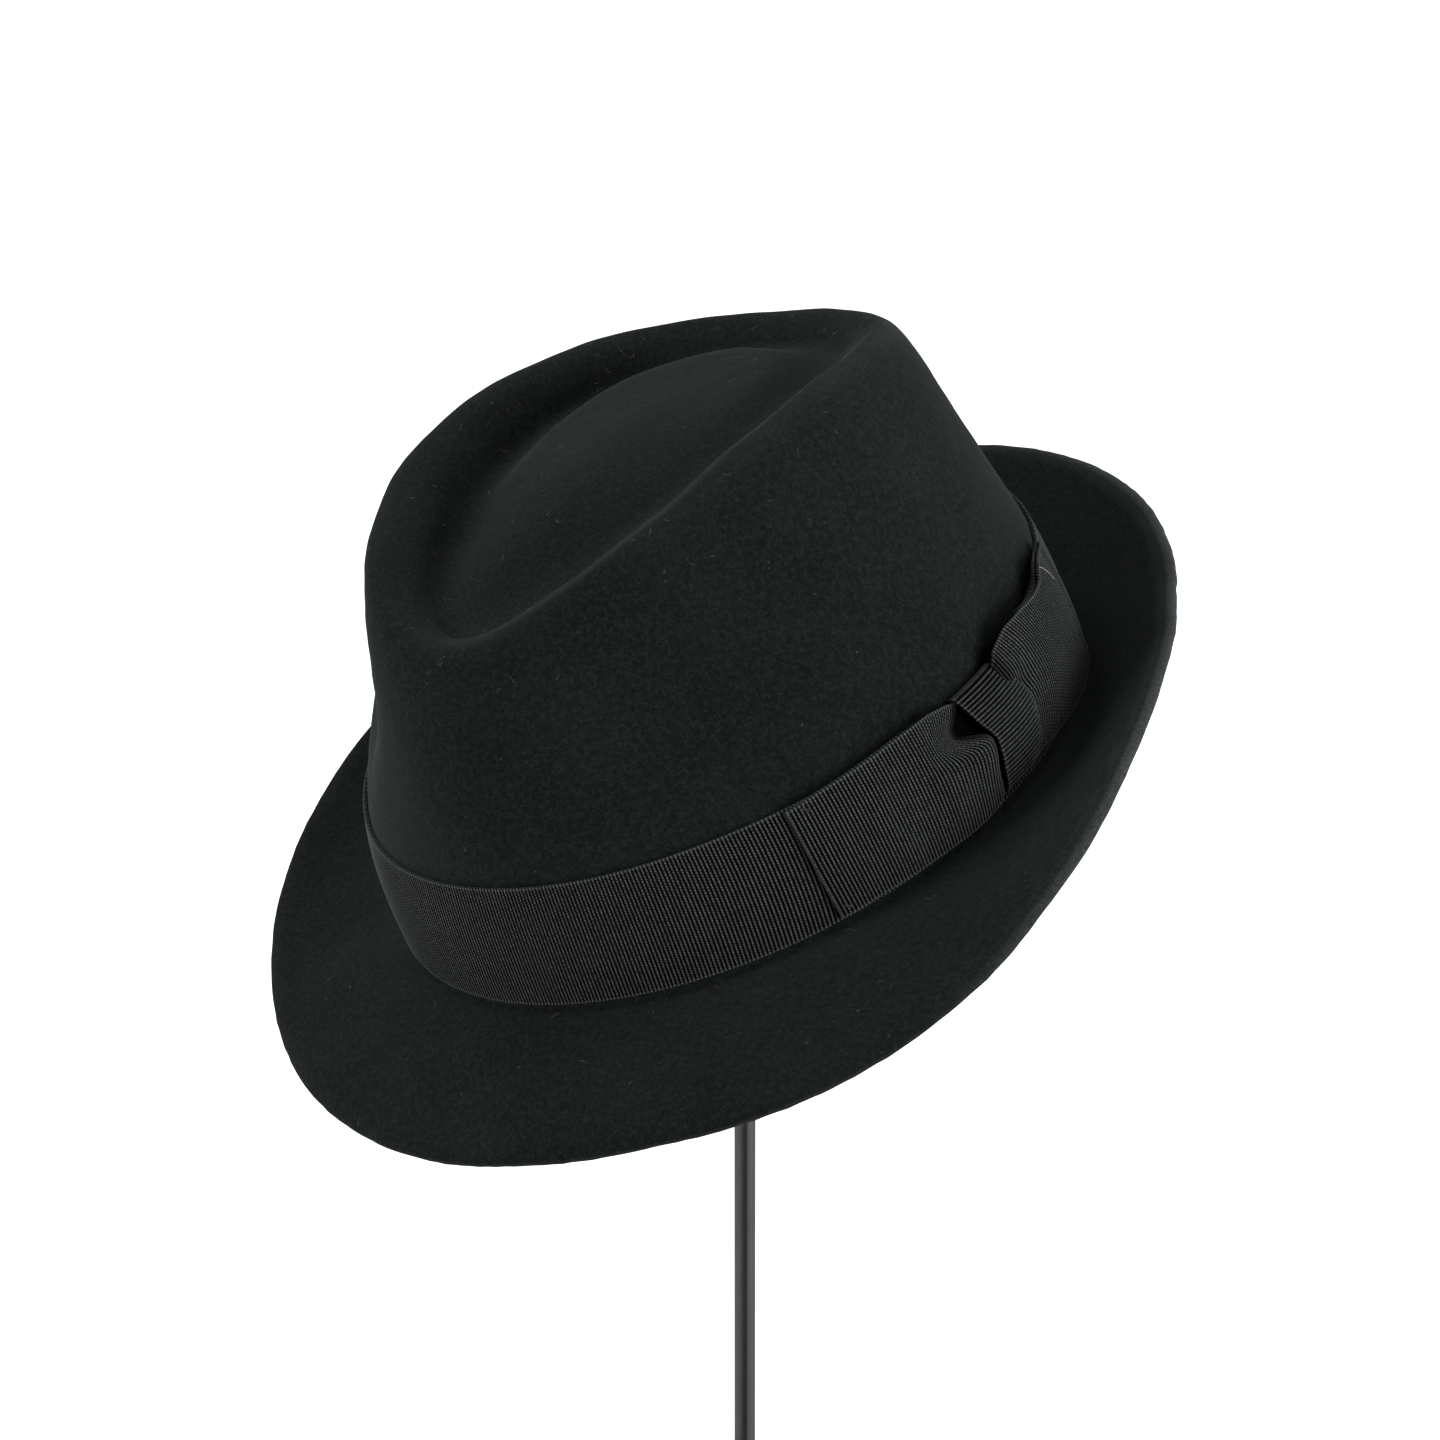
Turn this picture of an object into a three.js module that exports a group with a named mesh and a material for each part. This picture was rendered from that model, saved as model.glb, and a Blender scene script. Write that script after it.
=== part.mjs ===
// A felt trilby with a ribbon and a side bow, standing on a plain hat stand.
// Millimetres, Z up, the origin at the middle of the foot's underside.
// In the hat's own frame X points to the wearer's left, Y to the back and Z up. Angles round the
// hat run from the front (0 degrees) by the wearer's left (90) to the back (180).
import * as THREE from "three";
import { NURBSCurve } from "three/addons/curves/NURBSCurve.js";

const DEG = Math.PI / 180;

// The oval where the crown meets the brim, measured outside the felt
const HALF_WIDTH = 85.8;
const HALF_LENGTH = 103.8;
const EGG_SHARE = 0.017;
const BREAK_LINE_SWAY = -0.3;

// The felt
const FELT = 2.2;
const ROUND_STEPS = 64;
const CROWN_STEPS = 28;
const BRIM_STEPS = 8;

// The brim. A list holds the mean and the shares of cos t, cos 2t and so on round the hat, and a
// list with SIDE in its name holds the shares of sin t, sin 2t and so on
const BRIM_WIDTH = [35.8, 1.6, 4.1, -4.2, 0.3];
const BRIM_SIDE_WIDTH = [-0.2, 0.5];
const BRIM_EDGE_HEIGHT = [1.9, -16.4, -6.9, 1.0, 2.2, -0.2, -0.2];
const BRIM_EDGE_SIDE_HEIGHT = [0.2, 0.1, 0.1, 0, 0.4, 0.5];
const BRIM_CURL = 0.45;

// The crown's rim, the groove inside it and the raised middle
const CREASE_TURN_DEG = -7.5;
const CREASE_SHIFT = -0.5;
const RIM_HALF_WIDTH = [53.1, -3.9, 2.4, -1.2];
const RIM_HALF_LENGTH = 82.6;
const RIM_CENTRE_Y = 1.7;
const RIM_HEIGHT = [94.6, 0.5, -8.25, -0.8];
const RIM_SIDE_HEIGHT = [-0.7];
const RIM_RADIUS_FRONT = 11.4;
const RIM_RADIUS_BACK = 7.6;
const GROOVE_HALF_WIDTH = [36.8, -9.3];
const GROOVE_HALF_LENGTH = 71.6;
const GROOVE_CENTRE_Y = -0.5;
const GROOVE_HEIGHT = [89.6, 0.5, -4.6];
const GROOVE_SIDE_HEIGHT = [2.2];
const MIDDLE_CENTRE_Y = 13.2;
const MIDDLE_HEIGHT = 100;
const MIDDLE_FLAT_SHARE = 0.41;
const MIDDLE_SLOPE = 2.9;

// The crown's wall
const WALL_BULGE = [2.7, 2.2, -2.1];
const WALL_START_SHARE = 0.01;

// The pinch on each side at the front
const PINCH_ANGLE_DEG = 46;
const PINCH_DEPTH = 9.6;
const PINCH_HEIGHT = 68.4;
const PINCH_HALF_WIDTH = 27.4;
const PINCH_HALF_HEIGHT = 23.1;

// The ribbon and the bow
const RIBBON = 0.8;
const RIBBON_GAP = 0.3;
const BAND_LOW = 1.2;
const BAND_HIGH = 33.2;
const LOOP = 1.6;

// The bow's loops: the angles of the far end and of the end under the knot, how far the far end's
// upper corner lies from its lower one, the heights of the lower and upper edges at the far end,
// near the knot and under it, and how far the upper edge stands off
const FRONT_LOOP = {
  far: 48.1, knot: 81.5, slant: -1.6, low: [2.8, 3.3, 8.8], high: [32.7, 34.5, 29.8], flare: 0.5,
};
const REAR_LOOP = {
  far: 118, knot: 85, slant: 0, low: [2.4, 4.5, 9], high: [34.4, 36.6, 29.8], flare: 3.2,
};

// The knot: the angles of its two sides at the bottom and at the top, and its ends' heights
const KNOT_BOTTOM_DEG = [78.6, 89.2];
const KNOT_TOP_DEG = [77.2, 86.2];
const KNOT_LOW = 4.8;
const KNOT_HIGH = 33;

// The stand and the way that the hat sits on it
const FOOT_DIAMETER = 180;
const FOOT_THICKNESS = 5;
const ROD_DIAMETER = 5.6;
const PAD_DIAMETER = 60;
const PAD_DOME = 14;
const PAD_EDGE = 4;
const HAT_LEAN_DEG = -14.9;
const HAT_NOD_DEG = 10.2;
const HAT_OFFSET = [3.9, -11];
const HAT_HEIGHT = 280;
const CONTACT_GAP = 0.3;

// The sum of a mean, cosine waves and sine waves round the hat
function wave(shares, t, sideShares = []) {
  const even = shares.reduce((sum, share, order) => sum + share * Math.cos(order * t), 0);
  return sideShares.reduce((sum, share, place) => sum + share * Math.sin((place + 1) * t), even);
}

function mix(a, b, share) {
  return a + (b - a) * share;
}

// A cubic curve that starts and ends on its control points
function clampedCurve(points) {
  const spans = points.length - 3;
  const knots = [0, 0, 0];
  for (let i = 0; i <= spans; i++) knots.push(i / spans);
  knots.push(1, 1, 1);
  const controls = points.map(([x, y, z]) => new THREE.Vector4(x, y, z, 1));
  return new NURBSCurve(3, knots, controls);
}

function breakHeight(t) {
  return -BREAK_LINE_SWAY * Math.cos(2 * t);
}

function breakPoint(t) {
  const egg = 1 - EGG_SHARE * Math.cos(t);
  return [HALF_WIDTH * egg * Math.sin(t), -HALF_LENGTH * Math.cos(t)];
}

// A point of the crease's plan, turned and shifted a little from the hat's middle line
function creasePoint(x, y) {
  const turn = CREASE_TURN_DEG * DEG;
  return [
    x * Math.cos(turn) - y * Math.sin(turn) + CREASE_SHIFT,
    x * Math.sin(turn) + y * Math.cos(turn),
  ];
}

function unit(from, to) {
  const x = to[0] - from[0];
  const y = to[1] - from[1];
  const length = Math.hypot(x, y);
  return [x / length, y / length, length];
}

function along(point, direction, distance) {
  return [point[0] + direction[0] * distance, point[1] + direction[1] * distance];
}

// The crown's line at one angle, from the brim up the wall, over the rim, through the groove and
// up to the top of the raised middle
function crownCurve(t) {
  const base = breakPoint(t);
  const baseZ = breakHeight(t);
  const rimHalfWidth = wave(RIM_HALF_WIDTH, t);
  const rim = creasePoint(rimHalfWidth * Math.sin(t), RIM_CENTRE_Y - RIM_HALF_LENGTH * Math.cos(t));
  const rimZ = wave(RIM_HEIGHT, t, RIM_SIDE_HEIGHT);
  const grooveHalfWidth = wave(GROOVE_HALF_WIDTH, t);
  const groove = creasePoint(
    grooveHalfWidth * Math.sin(t),
    GROOVE_CENTRE_Y - GROOVE_HALF_LENGTH * Math.cos(t),
  );
  const grooveZ = wave(GROOVE_HEIGHT, t, GROOVE_SIDE_HEIGHT);
  const centre = creasePoint(0, MIDDLE_CENTRE_Y);
  const radius = mix(RIM_RADIUS_BACK, RIM_RADIUS_FRONT, 0.5 + 0.5 * Math.cos(t));
  const bulge = wave(WALL_BULGE, t);
  const outward = unit(rim, base);
  const fromGroove = unit(groove, rim);
  const shoulder = along(rim, outward, radius);
  const shoulderZ = rimZ - 1.2 * radius;
  const tilt = MIDDLE_SLOPE * Math.cos(t);
  const wall = (share, heightShare, swell) => {
    const plan = [mix(base[0], shoulder[0], share), mix(base[1], shoulder[1], share)];
    return [...along(plan, outward, swell), mix(baseZ, shoulderZ, heightShare)];
  };
  const middle = (share, z) => [mix(centre[0], groove[0], share), mix(centre[1], groove[1], share), z];
  return clampedCurve([
    [...base, baseZ],
    wall(WALL_START_SHARE, 0.25, 0.5 * bulge),
    wall(0.42, 0.55, bulge),
    wall(0.78, 0.85, 0.6 * bulge),
    [...along(shoulder, outward, 0.5), shoulderZ + 0.25 * radius],
    [...along(rim, outward, 0.45 * radius), rimZ + 0.22 * radius],
    [...along(rim, fromGroove, -0.45 * radius), rimZ + 0.12 * radius],
    [...along(groove, fromGroove, 0.42 * (fromGroove[2] - 0.4 * radius)), mix(grooveZ, rimZ, 0.42)],
    [...along(groove, fromGroove, 2), grooveZ - 0.5],
    [...along(groove, fromGroove, -4), grooveZ - 0.5],
    middle(0.5 + 0.5 * MIDDLE_FLAT_SHARE, mix(grooveZ, MIDDLE_HEIGHT, 0.72)),
    middle(MIDDLE_FLAT_SHARE, MIDDLE_HEIGHT + tilt - 0.5),
    middle(0.5 * MIDDLE_FLAT_SHARE, MIDDLE_HEIGHT + 0.5 * tilt),
    middle(0, MIDDLE_HEIGHT),
  ]);
}

// The brim's upper line at one angle, from its cut edge in to the foot of the crown
function brimCurve(t) {
  const base = breakPoint(t);
  const baseZ = breakHeight(t);
  const outward = [Math.sin(t), -Math.cos(t)];
  const width = wave(BRIM_WIDTH, t, BRIM_SIDE_WIDTH);
  const edge = [
    (HALF_WIDTH + width) * Math.sin(t),
    -(HALF_LENGTH + width) * Math.cos(t),
  ];
  const edgeZ = wave(BRIM_EDGE_HEIGHT, t, BRIM_EDGE_SIDE_HEIGHT);
  const part = (share, rise) => [
    mix(base[0], edge[0], share),
    mix(base[1], edge[1], share),
    mix(baseZ - 1.6, edgeZ, rise),
  ];
  return clampedCurve([
    [...edge, edgeZ],
    part(0.78, mix(0.78, 0.78 * 0.78, BRIM_CURL)),
    part(0.42, mix(0.42, 0.42 * 0.42, BRIM_CURL)),
    part(0.14, 0.04),
    [...along(base, outward, 1.2), baseZ - 1.6],
    [...base, baseZ - 1.2],
    [...base, baseZ],
  ]);
}

// How far the pinches push the crown in at an angle and a height
function pinch(t, z, s) {
  const fade = THREE.MathUtils.smoothstep(0.6 - s, 0, 0.15);
  let depth = 0;
  for (const side of [1, -1]) {
    const middle = (side * PINCH_ANGLE_DEG + CREASE_TURN_DEG) * DEG;
    const turn = THREE.MathUtils.euclideanModulo(t - middle + Math.PI, 2 * Math.PI) - Math.PI;
    const sideways = (turn * 90) / PINCH_HALF_WIDTH;
    const upward = (z - PINCH_HEIGHT) / PINCH_HALF_HEIGHT;
    depth += PINCH_DEPTH * Math.exp(-sideways * sideways - upward * upward);
  }
  return depth * fade;
}

// A point of the hat's outer face: v from 0 to 1 crosses the brim, from 1 to 2 climbs the crown
const curves = new Map();
function outerPoint(t, v) {
  if (!curves.has(t)) curves.set(t, [brimCurve(t), crownCurve(t)]);
  const [brim, crown] = curves.get(t);
  if (v <= 1) return brim.getPoint(Math.max(v, 0));
  const s = Math.min(v - 1, 1);
  const point = crown.getPoint(s);
  const depth = pinch(t, point.z, s);
  const outward = unit([0, 0], [Math.sin(t) / HALF_WIDTH, -Math.cos(t) / HALF_LENGTH]);
  point.x -= outward[0] * depth;
  point.y -= outward[1] * depth;
  return point;
}

function outerNormal(t, v) {
  const low = Math.max(v - 0.004, 0);
  const high = Math.min(v + 0.004, 2);
  const up = outerPoint(t, high).sub(outerPoint(t, low));
  const round = outerPoint(t + 0.6 * DEG, v).sub(outerPoint(t - 0.6 * DEG, v));
  return new THREE.Vector3().crossVectors(round, up).normalize();
}

// A closed body from a grid of points: each column is a closed section, and the columns either
// close round the hat or end in flat faces
function sectionBody(columns, closed) {
  const size = columns[0].length;
  const count = columns.length;
  const positions = columns.flat().flatMap((p) => [p.x, p.y, p.z]);
  const index = [];
  const last = closed ? count : count - 1;
  for (let i = 0; i < last; i++) {
    const next = (i + 1) % count;
    for (let j = 0; j < size; j++) {
      const k = (j + 1) % size;
      index.push(i * size + j, next * size + k, next * size + j);
      index.push(i * size + j, i * size + k, next * size + k);
    }
  }
  if (!closed) {
    const rows = size / 2;
    for (let j = 0; j < rows - 1; j++) {
      const [a, b, c, d] = [j, j + 1, size - 2 - j, size - 1 - j];
      index.push(a, c, b, a, d, c);
      const e = (count - 1) * size;
      index.push(e + a, e + b, e + c, e + a, e + c, e + d);
    }
  }
  const geometry = new THREE.BufferGeometry();
  geometry.setAttribute("position", new THREE.Float32BufferAttribute(positions, 3));
  geometry.setIndex(index);
  geometry.computeVertexNormals();
  return geometry;
}

// The felt: an outer skin from the cut edge to the top of the crown and an inner skin behind it
function feltGeometry() {
  const levels = [];
  for (let j = 0; j < BRIM_STEPS; j++) levels.push((j / BRIM_STEPS) ** 0.8);
  for (let j = 0; j < CROWN_STEPS; j++) levels.push(1 + j / CROWN_STEPS);
  const rows = levels.length;
  const positions = [];
  const add = (p) => positions.push(p.x, p.y, p.z);
  const outer = [];
  const inner = [];
  for (let i = 0; i < ROUND_STEPS; i++) {
    const t = (i / ROUND_STEPS) * 2 * Math.PI;
    for (const v of levels) {
      const point = outerPoint(t, v);
      outer.push(point);
      inner.push(point.clone().addScaledVector(outerNormal(t, v), -FELT));
    }
  }
  outer.forEach(add);
  inner.forEach(add);
  const top = outerPoint(0, 2);
  add(top);
  add(top.clone().setZ(top.z - FELT));
  const innerStart = outer.length;
  const topIndex = 2 * outer.length;
  const index = [];
  for (let i = 0; i < ROUND_STEPS; i++) {
    const a = i * rows;
    const b = ((i + 1) % ROUND_STEPS) * rows;
    for (let j = 0; j < rows - 1; j++) {
      index.push(a + j, b + j, b + j + 1, a + j, b + j + 1, a + j + 1);
      const [c, d] = [a + innerStart + j, b + innerStart + j];
      index.push(c, d + 1, d, c, c + 1, d + 1);
    }
    index.push(a + rows - 1, b + rows - 1, topIndex);
    index.push(a + innerStart + rows - 1, topIndex + 1, b + innerStart + rows - 1);
    index.push(a, a + innerStart, b + innerStart, a, b + innerStart, b);
  }
  const geometry = new THREE.BufferGeometry();
  geometry.setAttribute("position", new THREE.Float32BufferAttribute(positions, 3));
  geometry.setIndex(index);
  geometry.computeVertexNormals();
  return geometry;
}

// The place on the crown's wall at a height above the brim
function wallLevel(t, height) {
  const target = breakHeight(t) + height;
  let low = 1;
  let high = 1.45;
  for (let i = 0; i < 24; i++) {
    const v = (low + high) / 2;
    if (outerPoint(t, v).z < target) low = v;
    else high = v;
  }
  return (low + high) / 2;
}

// One section of a ribbon that lies on the wall, from its lower to its upper edge and back. The
// angle and the distances of the two faces from the wall vary with the share of the width
function ribbonSection(angle, low, high, rows, near, far) {
  const inside = [];
  const outside = [];
  for (let j = 0; j < rows; j++) {
    const share = j / (rows - 1);
    const t = angle(share);
    const v = wallLevel(t, mix(low, high, share));
    const point = outerPoint(t, v);
    const normal = outerNormal(t, v);
    inside.push(point.clone().addScaledVector(normal, near(share)));
    outside.push(point.clone().addScaledVector(normal, far(share)));
  }
  return [...inside, ...outside.reverse()];
}

function bandGeometry() {
  const columns = [];
  for (let i = 0; i < ROUND_STEPS; i++) {
    const t = (i / ROUND_STEPS) * 2 * Math.PI;
    const near = () => RIBBON_GAP;
    const far = () => RIBBON_GAP + RIBBON;
    columns.push(ribbonSection(() => t, BAND_LOW, BAND_HIGH, 4, near, far));
  }
  return sectionBody(columns, true);
}

// The nearest that a piece of the bow comes to the wall, just clear of the band
const CLEAR = 2 * RIBBON_GAP + RIBBON;

// A folded loop of the bow: full width at its far end, gathered where it runs under the knot
function loopGeometry({ far, knot, slant, low, high, flare }) {
  const steps = 14;
  const columns = [];
  for (let i = 0; i <= steps; i++) {
    const toKnot = i / steps;
    const middle = Math.min(1, toKnot / 0.7);
    const gather = THREE.MathUtils.smoothstep(toKnot, 0.79, 0.9);
    const lowEdge = mix(mix(low[0], low[1], middle), low[2], gather);
    const highEdge = mix(mix(high[0], high[1], middle), high[2], gather);
    const standOff = flare * Math.sin(Math.PI * Math.min(1, 1.15 * (1 - toKnot)));
    const fold = 0.55 * (1 - THREE.MathUtils.smoothstep(toKnot, 0, 0.06));
    const angle = (share) => {
      const bend = slant * (share + 0.3 * Math.sin(Math.PI * share));
      return (mix(far, knot, toKnot) + (1 - toKnot) * bend) * DEG;
    };
    const inner = (share) => CLEAR + standOff * share + 0.5 * LOOP * fold;
    const outer = (share) => {
      const swell = 0.8 * gather * Math.sin(Math.PI * share);
      return CLEAR + standOff * share + LOOP * (1 - 0.5 * fold) + swell;
    };
    columns.push(ribbonSection(angle, lowEdge, highEdge, 5, inner, outer));
  }
  if (far > knot) columns.reverse();
  return sectionBody(columns, false);
}

// The knot: a strip across the ribbon, lifted over the gathered loops
function knotGeometry() {
  const steps = 5;
  const columns = [];
  for (let i = 0; i <= steps; i++) {
    const bottom = mix(KNOT_BOTTOM_DEG[0], KNOT_BOTTOM_DEG[1], i / steps);
    const top = mix(KNOT_TOP_DEG[0], KNOT_TOP_DEG[1], i / steps);
    const waist = 0.9 * Math.cos((Math.PI * i) / steps);
    const angle = (share) => (mix(bottom, top, share) + waist * Math.sin(Math.PI * share)) * DEG;
    const crowned = 0.5 * Math.sin((Math.PI * i) / steps);
    const arch = (share) => Math.sin(Math.PI * share) ** 0.3;
    const near = (share) => CLEAR + (LOOP + 1.6) * arch(share);
    const far = (share) => near(share) + RIBBON + crowned;
    columns.push(ribbonSection(angle, KNOT_LOW, KNOT_HIGH, 11, near, far));
  }
  return sectionBody(columns, false);
}

const felt = new THREE.MeshStandardMaterial({ color: 0x2a2d2f, roughness: 0.95 });
const ribbon = new THREE.MeshStandardMaterial({ color: 0x26282a, roughness: 0.7 });
const steel = new THREE.MeshStandardMaterial({ color: 0x6b6d6f, roughness: 0.35, metalness: 1 });

function piece(name, geometry, material) {
  const mesh = new THREE.Mesh(geometry, material);
  mesh.name = name;
  return mesh;
}

// The hat, turned as it sits on the stand
const hat = new THREE.Group();
hat.rotation.set(HAT_NOD_DEG * DEG, HAT_LEAN_DEG * DEG, 0, "XYZ");
hat.position.set(HAT_OFFSET[0], HAT_OFFSET[1], HAT_HEIGHT);
const feltBody = piece("felt_body", feltGeometry(), felt);
hat.add(feltBody);
hat.add(piece("ribbon_band", bandGeometry(), ribbon));
hat.add(piece("bow_front_loop", loopGeometry(FRONT_LOOP), ribbon));
hat.add(piece("bow_rear_loop", loopGeometry(REAR_LOOP), ribbon));
hat.add(piece("bow_knot", knotGeometry(), ribbon));
hat.updateMatrixWorld(true);

// The pad's dome: how far it drops below its top at a distance from the rod
function domeDrop(distance) {
  return PAD_DOME * (distance / (PAD_DIAMETER / 2)) ** 2;
}

// The height at which the pad's dome just clears the felt above it
function padTopHeight() {
  const at = feltBody.geometry.getAttribute("position");
  const point = new THREE.Vector3();
  let top = Infinity;
  for (let i = 0; i < at.count; i++) {
    point.fromBufferAttribute(at, i).applyMatrix4(feltBody.matrixWorld);
    const distance = Math.hypot(point.x, point.y);
    if (distance > PAD_DIAMETER / 2 + 2 || point.z < HAT_HEIGHT) continue;
    top = Math.min(top, point.z + domeDrop(Math.min(distance, PAD_DIAMETER / 2)));
  }
  return top - CONTACT_GAP;
}

const padTop = padTopHeight();
const padUnder = padTop - PAD_DOME - PAD_EDGE;
const padProfile = [new THREE.Vector2(0, padUnder), new THREE.Vector2(PAD_DIAMETER / 2, padUnder)];
for (let i = 0; i <= 6; i++) {
  const distance = (PAD_DIAMETER / 2) * (1 - i / 6);
  padProfile.push(new THREE.Vector2(distance, padTop - domeDrop(distance)));
}

function upright(geometry, z) {
  return geometry.rotateX(Math.PI / 2).translate(0, 0, z);
}

const rodLow = FOOT_THICKNESS + CONTACT_GAP;
const rodHigh = padUnder - CONTACT_GAP;
const rodLength = rodHigh - rodLow;
const rodRadius = ROD_DIAMETER / 2;
const rod = upright(new THREE.CylinderGeometry(rodRadius, rodRadius, rodLength, 24), (rodLow + rodHigh) / 2);
const footRadius = FOOT_DIAMETER / 2;
const bevel = 1.5;
const footProfile = [
  new THREE.Vector2(0, 0),
  new THREE.Vector2(footRadius, 0),
  new THREE.Vector2(footRadius, FOOT_THICKNESS - bevel),
  new THREE.Vector2(footRadius - bevel, FOOT_THICKNESS),
  new THREE.Vector2(0, FOOT_THICKNESS),
];

const object = new THREE.Group();
object.add(hat);
object.add(piece("stand_top", upright(new THREE.LatheGeometry(padProfile, 32), 0), steel));
object.add(piece("stand_rod", rod, steel));
object.add(piece("stand_foot", upright(new THREE.LatheGeometry(footProfile, 48), 0), steel));

export default object;
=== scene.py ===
"""A felt trilby with a ribbed ribbon and a side bow, on a plain stand."""

import math

import bpy
import numpy as np
from mathutils import Matrix, Vector


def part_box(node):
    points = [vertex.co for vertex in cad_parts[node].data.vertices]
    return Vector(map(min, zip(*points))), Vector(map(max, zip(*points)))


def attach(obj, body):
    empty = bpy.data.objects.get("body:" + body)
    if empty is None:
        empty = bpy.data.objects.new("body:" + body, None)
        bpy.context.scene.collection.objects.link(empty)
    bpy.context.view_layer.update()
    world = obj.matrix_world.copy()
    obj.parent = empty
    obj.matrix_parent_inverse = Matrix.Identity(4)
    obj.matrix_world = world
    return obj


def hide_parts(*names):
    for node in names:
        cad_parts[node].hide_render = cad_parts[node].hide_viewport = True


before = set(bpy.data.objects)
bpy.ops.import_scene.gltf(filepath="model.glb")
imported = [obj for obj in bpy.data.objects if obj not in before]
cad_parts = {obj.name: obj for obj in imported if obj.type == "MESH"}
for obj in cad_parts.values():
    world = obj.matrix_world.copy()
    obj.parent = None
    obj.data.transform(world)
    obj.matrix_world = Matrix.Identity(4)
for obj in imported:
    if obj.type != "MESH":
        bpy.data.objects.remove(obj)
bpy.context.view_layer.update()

# Sizes below are in millimetres in the hat's own frame: X to the wearer's left, Y to the back,
# Z up. Angles round the hat run from the front (0) by the wearer's left (90) to the back (180).
MM = 0.001
WHOLE_TURN = 2.0 * math.pi

# The way that the hat sits on the stand
HAT_LEAN_DEG = -14.9
HAT_NOD_DEG = 10.2
HAT_PLACE = (3.9, -11.0, 280.0)

# The oval where the crown meets the brim
HALF_WIDTH = 85.8
HALF_LENGTH = 103.8
EGG_SHARE = 0.017
BREAK_LINE_SWAY = -0.3

# The brim. A list holds the mean and the shares of cos t, cos 2t and so on round the hat, and a
# list with SIDE in its name holds the shares of sin t, sin 2t and so on
BRIM_WIDTH = (35.8, 1.6, 4.1, -4.2, 0.3)
BRIM_SIDE_WIDTH = (-0.2, 0.5)
BRIM_EDGE_HEIGHT = (1.9, -16.4, -6.9, 1.0, 2.2, -0.2, -0.2)
BRIM_EDGE_SIDE_HEIGHT = (0.2, 0.1, 0.1, 0.0, 0.4, 0.5)
BRIM_DROP = 1.6
BRIM_FILLET = 1.2

# The brim's curve, in shares of its width and of its rise
BRIM_CURVE_SHARES = (0.78, 0.42)
BRIM_CURL = 0.45
BRIM_ROOT_SHARE = 0.14
BRIM_ROOT_RISE = 0.04

# The crown's rim, the groove inside it and the raised middle
CREASE_TURN_DEG = -7.5
CREASE_SHIFT = -0.5
RIM_HALF_WIDTH = (53.1, -3.9, 2.4, -1.2)
RIM_HALF_LENGTH = 82.6
RIM_CENTRE_Y = 1.7
RIM_HEIGHT = (94.6, 0.5, -8.25, -0.8)
RIM_SIDE_HEIGHT = (-0.7,)
RIM_RADIUS_FRONT = 11.4
RIM_RADIUS_BACK = 7.6
RIM_CREASE = 0.5
RIM_CREASE_REACH = 2.4
SHOULDER_STEP = 0.5
GROOVE_HALF_WIDTH = (36.8, -9.3)
GROOVE_HALF_LENGTH = 71.6
GROOVE_CENTRE_Y = -0.5
GROOVE_HEIGHT = (89.6, 0.5, -4.6)
GROOVE_SIDE_HEIGHT = (2.2,)
GROOVE_OUTER_HALF = 2.0
GROOVE_INNER_HALF = 4.0
GROOVE_DIP = 0.5
MIDDLE_CENTRE_Y = 13.2
MIDDLE_HEIGHT = 100.0
MIDDLE_FLAT_SHARE = 0.41
MIDDLE_SLOPE = 2.9
MIDDLE_SHOULDER_SHARE = 0.72

# The rim's rounding, in shares of its radius, and a point on the slope from the groove to it
SHOULDER_DROP = 1.2
SHOULDER_RISE = 0.25
RIM_SPREAD = 0.45
RIM_OUTER_RISE = 0.22
RIM_INNER_RISE = 0.12
RIM_ROOM = 0.4
SLOPE_SHARE = 0.42

# The wall. Its points hold shares of the way in, of the way up and of the bulge
WALL_BULGE = (2.7, 2.2, -2.1)
WALL_POINTS = ((0.01, 0.25, 0.5), (0.42, 0.55, 1.0), (0.78, 0.85, 0.6))

# The pinch on each side at the front. It ends at a place from 0 at the brim to 1 at the middle
PINCH_ANGLE_DEG = 46.0
PINCH_DEPTH = 9.6
PINCH_HEIGHT = 68.4
PINCH_HALF_WIDTH = 27.4
PINCH_HALF_HEIGHT = 23.1
PINCH_END_PLACE = 0.6
PINCH_FADE = 0.15
CROWN_RADIUS = 90.0

# The felt, its cut edge, and the fine hairs and threads that lie on the hat
FELT = 2.2
FELT_COLUMNS = 288
BRIM_ROWS = 51
CROWN_ROWS = 150
RIM_ROWS = (30, 80)
CUT_ROWS = 6
EDGE_PACKING = 0.6
CUT_SWELL = 0.6
ROLL_REACH = 4.6
PRESS_DEPTH = 0.8
PRESS_REACH = 3.5
STRIP_WIDTH = (4.4, 4.9)
STRIP_SHARE = 0.16
PALE_REACH = (0.4, 1.8)
# The side of the brim's edge where light catches it, rolled further down and painted paler: the
# angles over which it fades in and out
LIT_SIDE_FROM_DEG = (45.0, 80.0)
LIT_SIDE_TO_DEG = (150.0, 190.0)
HAIR = 0.065
HAIR_COUNT = 130
HAIR_LENGTH = (0.8, 3.2)
HAIR_BEND = 1.2
LONG_HAIR = 0.17
TACK_THREAD = 0.22
THREAD_SIDES = 6

# The ribbon round the crown
RIBBON = 0.8
RIBBON_GAP = 0.3
BAND_LOW = 1.2
BAND_HIGH = 33.2
BAND_RIB_PITCH = 1.14
BAND_SEAM_DEG = 100.0
RIB_HEIGHT = 0.30
COLUMNS_PER_RIB = 4
SELVEDGE_WIDTH = 0.7
SELVEDGE_HEIGHT = 0.14
BEAD_TURN_PER_MM = 8.4
# Where shade under the knot is painted onto the band: the angles and heights over which it fades in
UNDER_KNOT_FROM_DEG = (70.0, 72.0)
UNDER_KNOT_TO_DEG = (90.0, 92.0)
UNDER_KNOT_HEIGHT = (9.0, 12.0)

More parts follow.
